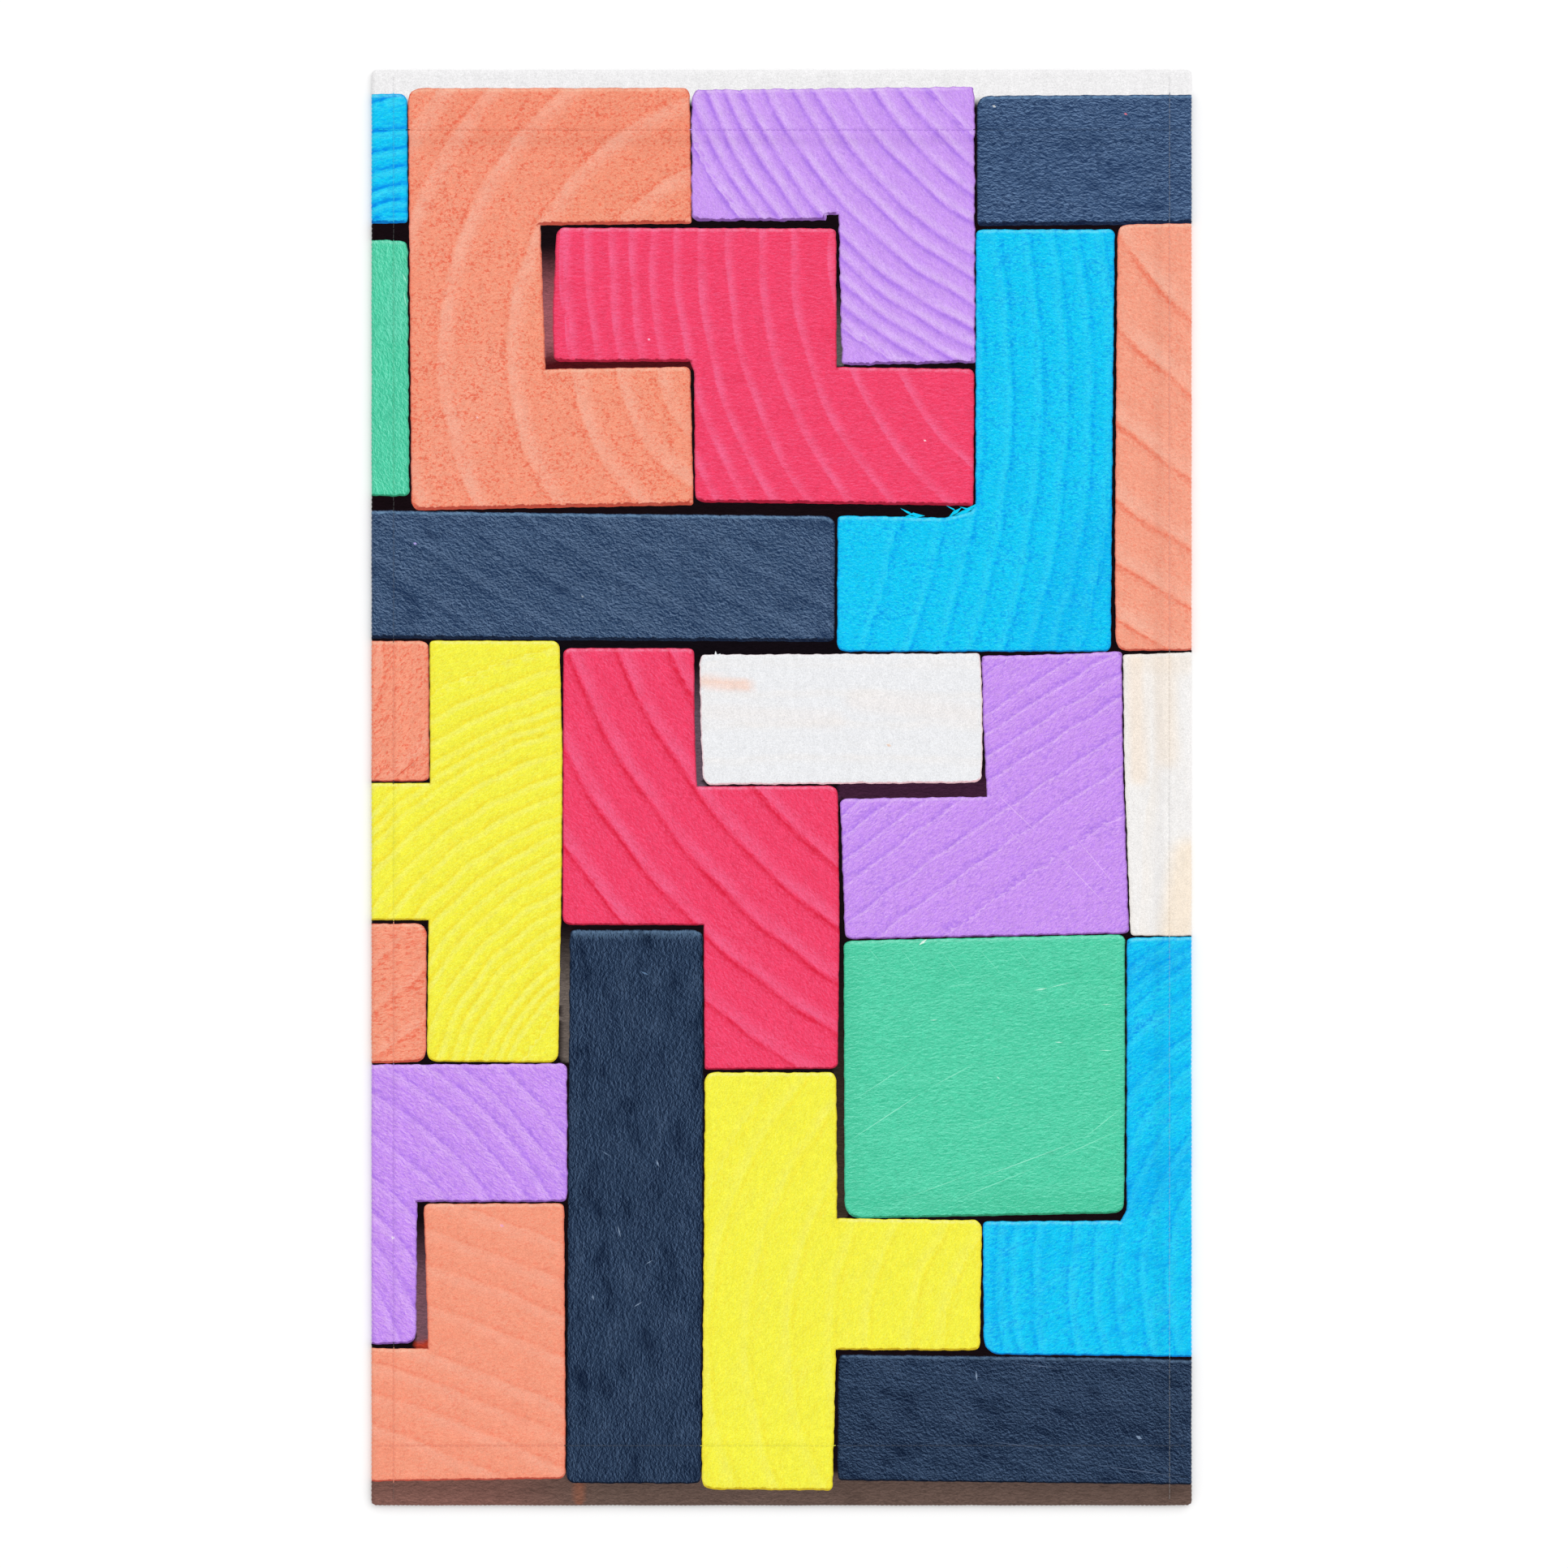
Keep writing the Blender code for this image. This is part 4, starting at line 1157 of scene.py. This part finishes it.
def loft_faces(count, ring):
    """Quads between count rings of points, each of ring points, and a cap on both ends."""
    faces = []
    for k in range(count - 1):
        for m in range(ring):
            n = (m + 1) % ring
            faces.append((k * ring + m, k * ring + n, (k + 1) * ring + n, (k + 1) * ring + m))
    faces.append(tuple(range(ring - 1, -1, -1)))
    faces.append(tuple((count - 1) * ring + m for m in range(ring)))
    return faces


def tube(points, radius, sides):
    """A closed tube through the points, thinner at both ends, as vertices and faces."""
    verts = []
    count = len(points)
    for k, point in enumerate(points):
        before, after = points[max(k - 1, 0)], points[min(k + 1, count - 1)]
        along = (after - before).normalized()
        across = along.cross(Vector((0, 0, 1)))
        across = across.normalized() if across.length > 1e-6 else Vector((1, 0, 0))
        rise = across.cross(along)
        size = radius * (0.55 if k in (0, count - 1) else 1.0)
        for side in range(sides):
            angle = math.tau * side / sides
            verts.append(point + across * size * math.cos(angle) + rise * size * math.sin(angle))
    return verts, loft_faces(count, sides)


BARE_THREAD = (247, 246, 245)
# How much paler than the print each seam's needle thread is drawn: partly thread that takes less ink than
# the pile, and on the right seam partly painted light, the paler line that the light from the upper right
# lays along it.
THREAD_PALE_INK_AND_LIGHT = {"left": 0.05, "right": 0.17, "top": 0.0, "bottom": 0.05}
THREAD_RADIUS = 0.17 * MM
THREAD_SIDES = 6
STITCH_SHAPE = [(-0.46, -1.0), (-0.36, -0.1), (-0.15, 0.55), (0.15, 0.55), (0.36, -0.1), (0.46, -1.0)]
STITCH_DIP = 0.34 * MM
BOBBIN_HEIGHT = 0.43 * MM


def make_seam(side, kind, material, level, outwards, fade=None):
    """A seam's stitches along its CAD thread. level is the height of the cloth there, and outwards is +1
    where the thread shows on top and -1 where it shows underneath. fade is how much paler than the pile a
    printed thread is drawn: partly thread that takes less ink than the pile, and on the right seam partly
    painted light."""
    name, node = f"{side}_{kind}_stitches", f"{side}_{kind}_thread"
    low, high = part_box(node)
    along_x = high[0] - low[0] > high[1] - low[1]
    start, end = (low[0], high[0]) if along_x else (low[1], high[1])
    fixed = (low[1] + high[1]) / 2 if along_x else (low[0] + high[0]) / 2
    source = random.Random(name)
    verts, faces, places = [], [], []
    count = int((end - start) / STITCH_PITCH)
    first = (start + end) / 2 - (count - 1) / 2 * STITCH_PITCH
    for k in range(count):
        centre = first + k * STITCH_PITCH
        skew = source.uniform(-0.08, 0.08) * MM
        lift = source.uniform(-0.04, 0.04) * MM
        points = []
        for share, height in STITCH_SHAPE:
            s = centre + share * STITCH_PITCH
            sideways = fixed + skew + 0.10 * MM * share
            x, y = (s, sideways) if along_x else (sideways, s)
            z = level(x, y) + lift + outwards * (height * STITCH_DIP)
            points.append(Vector((x, y, z)))
        new_verts, new_faces = tube(points, THREAD_RADIUS, THREAD_SIDES)
        faces += [tuple(i + len(verts) for i in face) for face in new_faces]
        verts += new_verts
        places.append((centre, fixed) if along_x else (fixed, centre))
    obj = mesh_object(name, verts, faces, material)
    if fade is not None:
        corners_each = sum(len(face) for face in faces) // count
        colours = print_colours(*zip(*places))
        # Paler by fade: partly less ink on the thread, partly painted light.
        store_paint(obj, colours * (1 - fade) + ink(BARE_THREAD) * fade, corners_each)
    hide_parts(node)
    return smooth_shaded(obj)


def crossing_lift(x, y):
    """The end seams ride over the side seams where they cross."""
    over = math.exp(-(((abs(x) - (HALF_WIDTH - SIDE_SEAM)) / (1.3 * MM)) ** 2))
    at_end = math.exp(-(((abs(y) - (HALF_LENGTH - END_SEAM)) / (0.4 * MM)) ** 2))
    return 0.18 * MM * over * at_end


def needle_level(x, y):
    """How high the needle thread lies on the printed face."""
    top = float(face_height(np.array([x]), np.array([y]))[0])
    return top + THREAD_RADIUS * 0.75 + crossing_lift(x, y)


def bobbin_level(x, y):
    """How high the bobbin thread lies: the same everywhere, in the groove of the hem's underside."""
    return BOBBIN_HEIGHT


FIBRES_PER_MM = 2.6
FIBRE_LENGTHS = (0.18, 0.62)  # shortest and longest, in millimetres
FIBRE_TURNS = (0.9, 2.0)  # how far round the edge's fold they stand, in radians
FIBRE_RADIUS = 0.055 * MM
FIBRE_ROOT = 0.06 * MM  # how deep they are rooted


def make_fibres(material):
    """Loose pile fibres that stand out from the towel's edge, each a thin three-sided spike."""
    source = np.random.default_rng(7)
    loop = np.array(rim_loop(0.0))
    stretch = np.roll(loop, -1, axis=0) - loop
    travelled = np.concatenate([[0.0], np.cumsum(np.hypot(stretch[:, 0], stretch[:, 1]))])
    count = int(travelled[-1] / MM * FIBRES_PER_MM)
    at = np.sort(source.uniform(0, travelled[-1], count))
    piece = np.clip(np.searchsorted(travelled, at, side="right") - 1, 0, len(loop) - 1)
    share = (at - travelled[piece]) / (travelled[piece + 1] - travelled[piece])
    start = loop[piece] + stretch[piece] * share[:, None]
    turn = source.uniform(*FIBRE_TURNS, count)
    _, qx, qy, nx, ny = edge_frame(start[:, 0], start[:, 1])
    reach = CORNER_RADIUS - FOLD_RADIUS * (1 - turn)
    root_x, root_y = qx + nx * reach, qy + ny * reach
    px, py, pz = lay_down(root_x, root_y)
    out = np.stack([nx * np.sin(turn), ny * np.sin(turn), np.cos(turn)], axis=1)
    lean = source.normal(0, 1, (count, 3)) * (0.55, 0.55, 0.4)
    way = out + lean
    way /= np.linalg.norm(way, axis=1)[:, None]
    length = source.uniform(*FIBRE_LENGTHS, count)[:, None] * MM
    across = np.cross(way, (0.31, 0.22, 0.92))
    across /= np.linalg.norm(across, axis=1)[:, None] / FIBRE_RADIUS
    beside = np.cross(way, across)
    root = np.stack([px, py, pz], axis=1) - out * FIBRE_ROOT
    back = root - across * 0.5
    corners = [root + across, back + beside * 0.87, back - beside * 0.87]
    verts = np.stack([*corners, root + way * length], axis=1).reshape(-1, 3)
    sides = np.array([(0, 2, 1), (0, 1, 3), (1, 2, 3), (2, 0, 3)])
    faces = (np.arange(count)[:, None, None] * 4 + sides).reshape(-1, 3)
    obj = mesh_object("edge_fibres", verts, faces.tolist(), material)
    store_paint(obj, print_colours(root_x, root_y) * 0.9 + 0.1 * ink(BARE_THREAD), 12)
    return obj


BACK_STEP_X = 2.0 * MM
BACK_STEP_Y = 2.6 * MM
LOOP_ROOM = 0.55 * MM


def make_back(material):
    """The white side of the cloth: rows of low cotton loops, down in the field and up over the hems."""
    inner_x, inner_y = HALF_WIDTH - HEM_OUTER, HALF_LENGTH - HEM_OUTER
    nx, ny = round(2 * inner_x / BACK_STEP_X), round(2 * inner_y / BACK_STEP_Y)
    xs, ys = np.linspace(-inner_x, inner_x, nx + 1), np.linspace(-inner_y, inner_y, ny + 1)
    gx, gy = (v.ravel() for v in np.meshgrid(xs, ys))
    side, end = HALF_WIDTH - np.abs(gx), HALF_LENGTH - np.abs(gy)
    over = np.maximum(raised(side, SIDE_FOLD), raised(end, END_FOLD))
    source = np.random.default_rng(5)
    loops = source.uniform(0, 1, len(gx))
    rows = (np.arange(ny + 1) % 2).repeat(nx + 1)
    height = RISE * over + LOOP_ROOM * (0.25 * rows + 0.75 * loops) * (1 - over) + TABLE_CLEARANCE
    jitter = source.uniform(-0.3, 0.3, (2, len(gx))) * MM
    verts = np.stack([gx + jitter[0] * (1 - over), gy + jitter[1] * (1 - over), height], axis=1)
    faces = []
    for j in range(ny):
        for i in range(nx):
            a = j * (nx + 1) + i
            faces.append((a, a + nx + 1, a + nx + 2, a + 1))
    obj = mesh_object("cotton_loop_back", verts, faces, material)
    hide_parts("cotton_back")
    return smooth_shaded(obj)


HEM_STEP = 3.1 * MM
HEM_WAVES = (0.0061, 0.011, 0.023)
HEM_PINCH = 0.05 * MM  # how far, on average, its upper and lower sides draw in between its edges
HEM_SWAY = 0.10 * MM  # how far its inner fold sways in and out


def hem_section(depth):
    """A hem's outline across its width, as (share of the way in, height), going round once."""
    seam_share = 1 - (SIDE_FOLD - SIDE_SEAM) / depth
    half = HEM_HEIGHT / 2
    fold = half / depth
    groove = [(-1.3, 0.0), (-0.7, 0.30), (-0.25, 0.52), (0.25, 0.52), (0.7, 0.30), (1.3, 0.0)]
    under = [(0.0, 0.35), (0.02, 0.06), (0.25 * seam_share, 0.0), (0.6 * seam_share, 0.03)]
    under += [(seam_share + offset * MM / depth, rise) for offset, rise in groove]
    nose = [
        (1 - fold + fold * math.cos(angle), (half + half * math.sin(angle)) / MM)
        for angle in (math.pi * (k / 7 - 0.5) for k in range(1, 8))
    ]
    over = [(0.6, HEM_HEIGHT / MM), (0.02, HEM_HEIGHT / MM), (0.0, 1.3)]
    return under + nose + over


def make_hem(side, material):
    """One turned hem: two plies folded in, with the bobbin seam sunk into its underside."""
    node = f"{side}_hem"
    low, high = (Vector(v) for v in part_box(node))
    along_x = side in ("top", "bottom")
    outward = 1 if side in ("top", "right") else -1
    across, run = (1, 0) if along_x else (0, 1)
    depth = high[across] - low[across]
    outer = high[across] if outward > 0 else low[across]
    section = hem_section(depth)
    source = random.Random(side)
    phases = [source.uniform(0, math.tau) for _ in HEM_WAVES]
    length = high[run] - low[run]
    count = round(length / HEM_STEP)
    verts = []
    for k in range(count + 1):
        s = low[run] + length * k / count
        swell = sum(math.sin(s / wave + phase) for wave, phase in zip(HEM_WAVES, phases)) / len(HEM_WAVES)
        for share, height in section:
            pinch = HEM_PINCH * (1 + swell) * (1 if height < 0.9 else -1)
            z = height * MM + pinch * (share > 0.03) * (share < 0.97)
            inward = outer - outward * share * depth + outward * HEM_SWAY * swell * (share > 0.9)
            verts.append((s, inward, z) if along_x else (inward, s, z))
    faces = loft_faces(count + 1, len(section))
    obj = mesh_object(f"{side}_turned_hem", verts, faces, material)
    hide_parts(node)
    fix_normals(obj)
    return smooth_shaded(obj)


def fix_normals(obj):
    """Turn every face outwards."""
    bm = bmesh.new()
    bm.from_mesh(obj.data)
    bmesh.ops.recalc_face_normals(bm, faces=bm.faces)
    bm.to_mesh(obj.data)
    bm.free()


def build_towel():
    pile = pile_material()
    inked_thread = thread_material("inked thread", printed=True)
    white_thread = thread_material("white thread", printed=False)
    inked_fibre = thread_material("inked fibre", printed=True)
    loops = cotton_material("cotton loops", 0.62, 0.0005, (238, 237, 233))
    hem_pile = cotton_material("hem pile", 1.15, 0.0002, (240, 239, 236))

    face = make_face(*triangulate(), pile)
    back = make_back(loops)
    sides = ("left", "right", "top", "bottom")
    hems = [make_hem(side, hem_pile) for side in sides]
    needle = [make_seam(side, "needle", inked_thread, needle_level, 1, THREAD_PALE_INK_AND_LIGHT[side]) for side in sides]
    bobbin = [make_seam(side, "bobbin", white_thread, bobbin_level, -1) for side in sides]
    fibres = make_fibres(inked_fibre)


# ---- Studio ----

CAMERA_HEIGHT = 2.4
VIEW_WIDTH = 0.7774  # how much of the ground the square picture spans
SENSOR = 36.0
TOWEL_OFFSET = (-1.2 * MM, -1.8 * MM)  # the towel lies this far off the picture's centre
KEY_FROM = (0.9, 1.0, 1.9)  # the key light comes from beyond the upper right corner
KEY_SOFTNESS = math.radians(60)
KEY_STRENGTH = 0.95
AMBIENT = 0.885
FLOOR_SIZE = 10.0


def build_studio():
    scene = bpy.context.scene
    mesh = bpy.data.meshes.new("floor")
    half = FLOOR_SIZE / 2
    corners = [(-half, -half, 0), (half, -half, 0), (half, half, 0), (-half, half, 0)]
    mesh.from_pydata(corners, [], [(0, 1, 2, 3)])
    mesh.materials.append(floor_material())
    floor = bpy.data.objects.new("floor", mesh)
    scene.collection.objects.link(floor)

    world = bpy.data.worlds.new("studio")
    world.use_nodes = True
    background = world.node_tree.nodes["Background"]
    background.inputs["Color"].default_value = (1.0, 1.0, 1.0, 1.0)
    background.inputs["Strength"].default_value = AMBIENT
    scene.world = world
    sun = bpy.data.lights.new("key", "SUN")
    sun.energy = KEY_STRENGTH
    sun.angle = KEY_SOFTNESS
    key = bpy.data.objects.new("key", sun)
    key.rotation_euler = Vector(KEY_FROM).to_track_quat("Z", "Y").to_euler()
    scene.collection.objects.link(key)

    camera_data = bpy.data.cameras.new("camera")
    camera_data.sensor_width = SENSOR
    camera_data.lens = SENSOR * CAMERA_HEIGHT / VIEW_WIDTH
    camera = bpy.data.objects.new("camera", camera_data)
    camera.location = (-TOWEL_OFFSET[0], -TOWEL_OFFSET[1], CAMERA_HEIGHT)
    camera.rotation_euler = (0, 0, 0)
    scene.collection.objects.link(camera)
    scene.camera = camera
    scene.view_settings.view_transform = "Standard"
    scene.view_settings.look = "None"


build_studio()
build_towel()
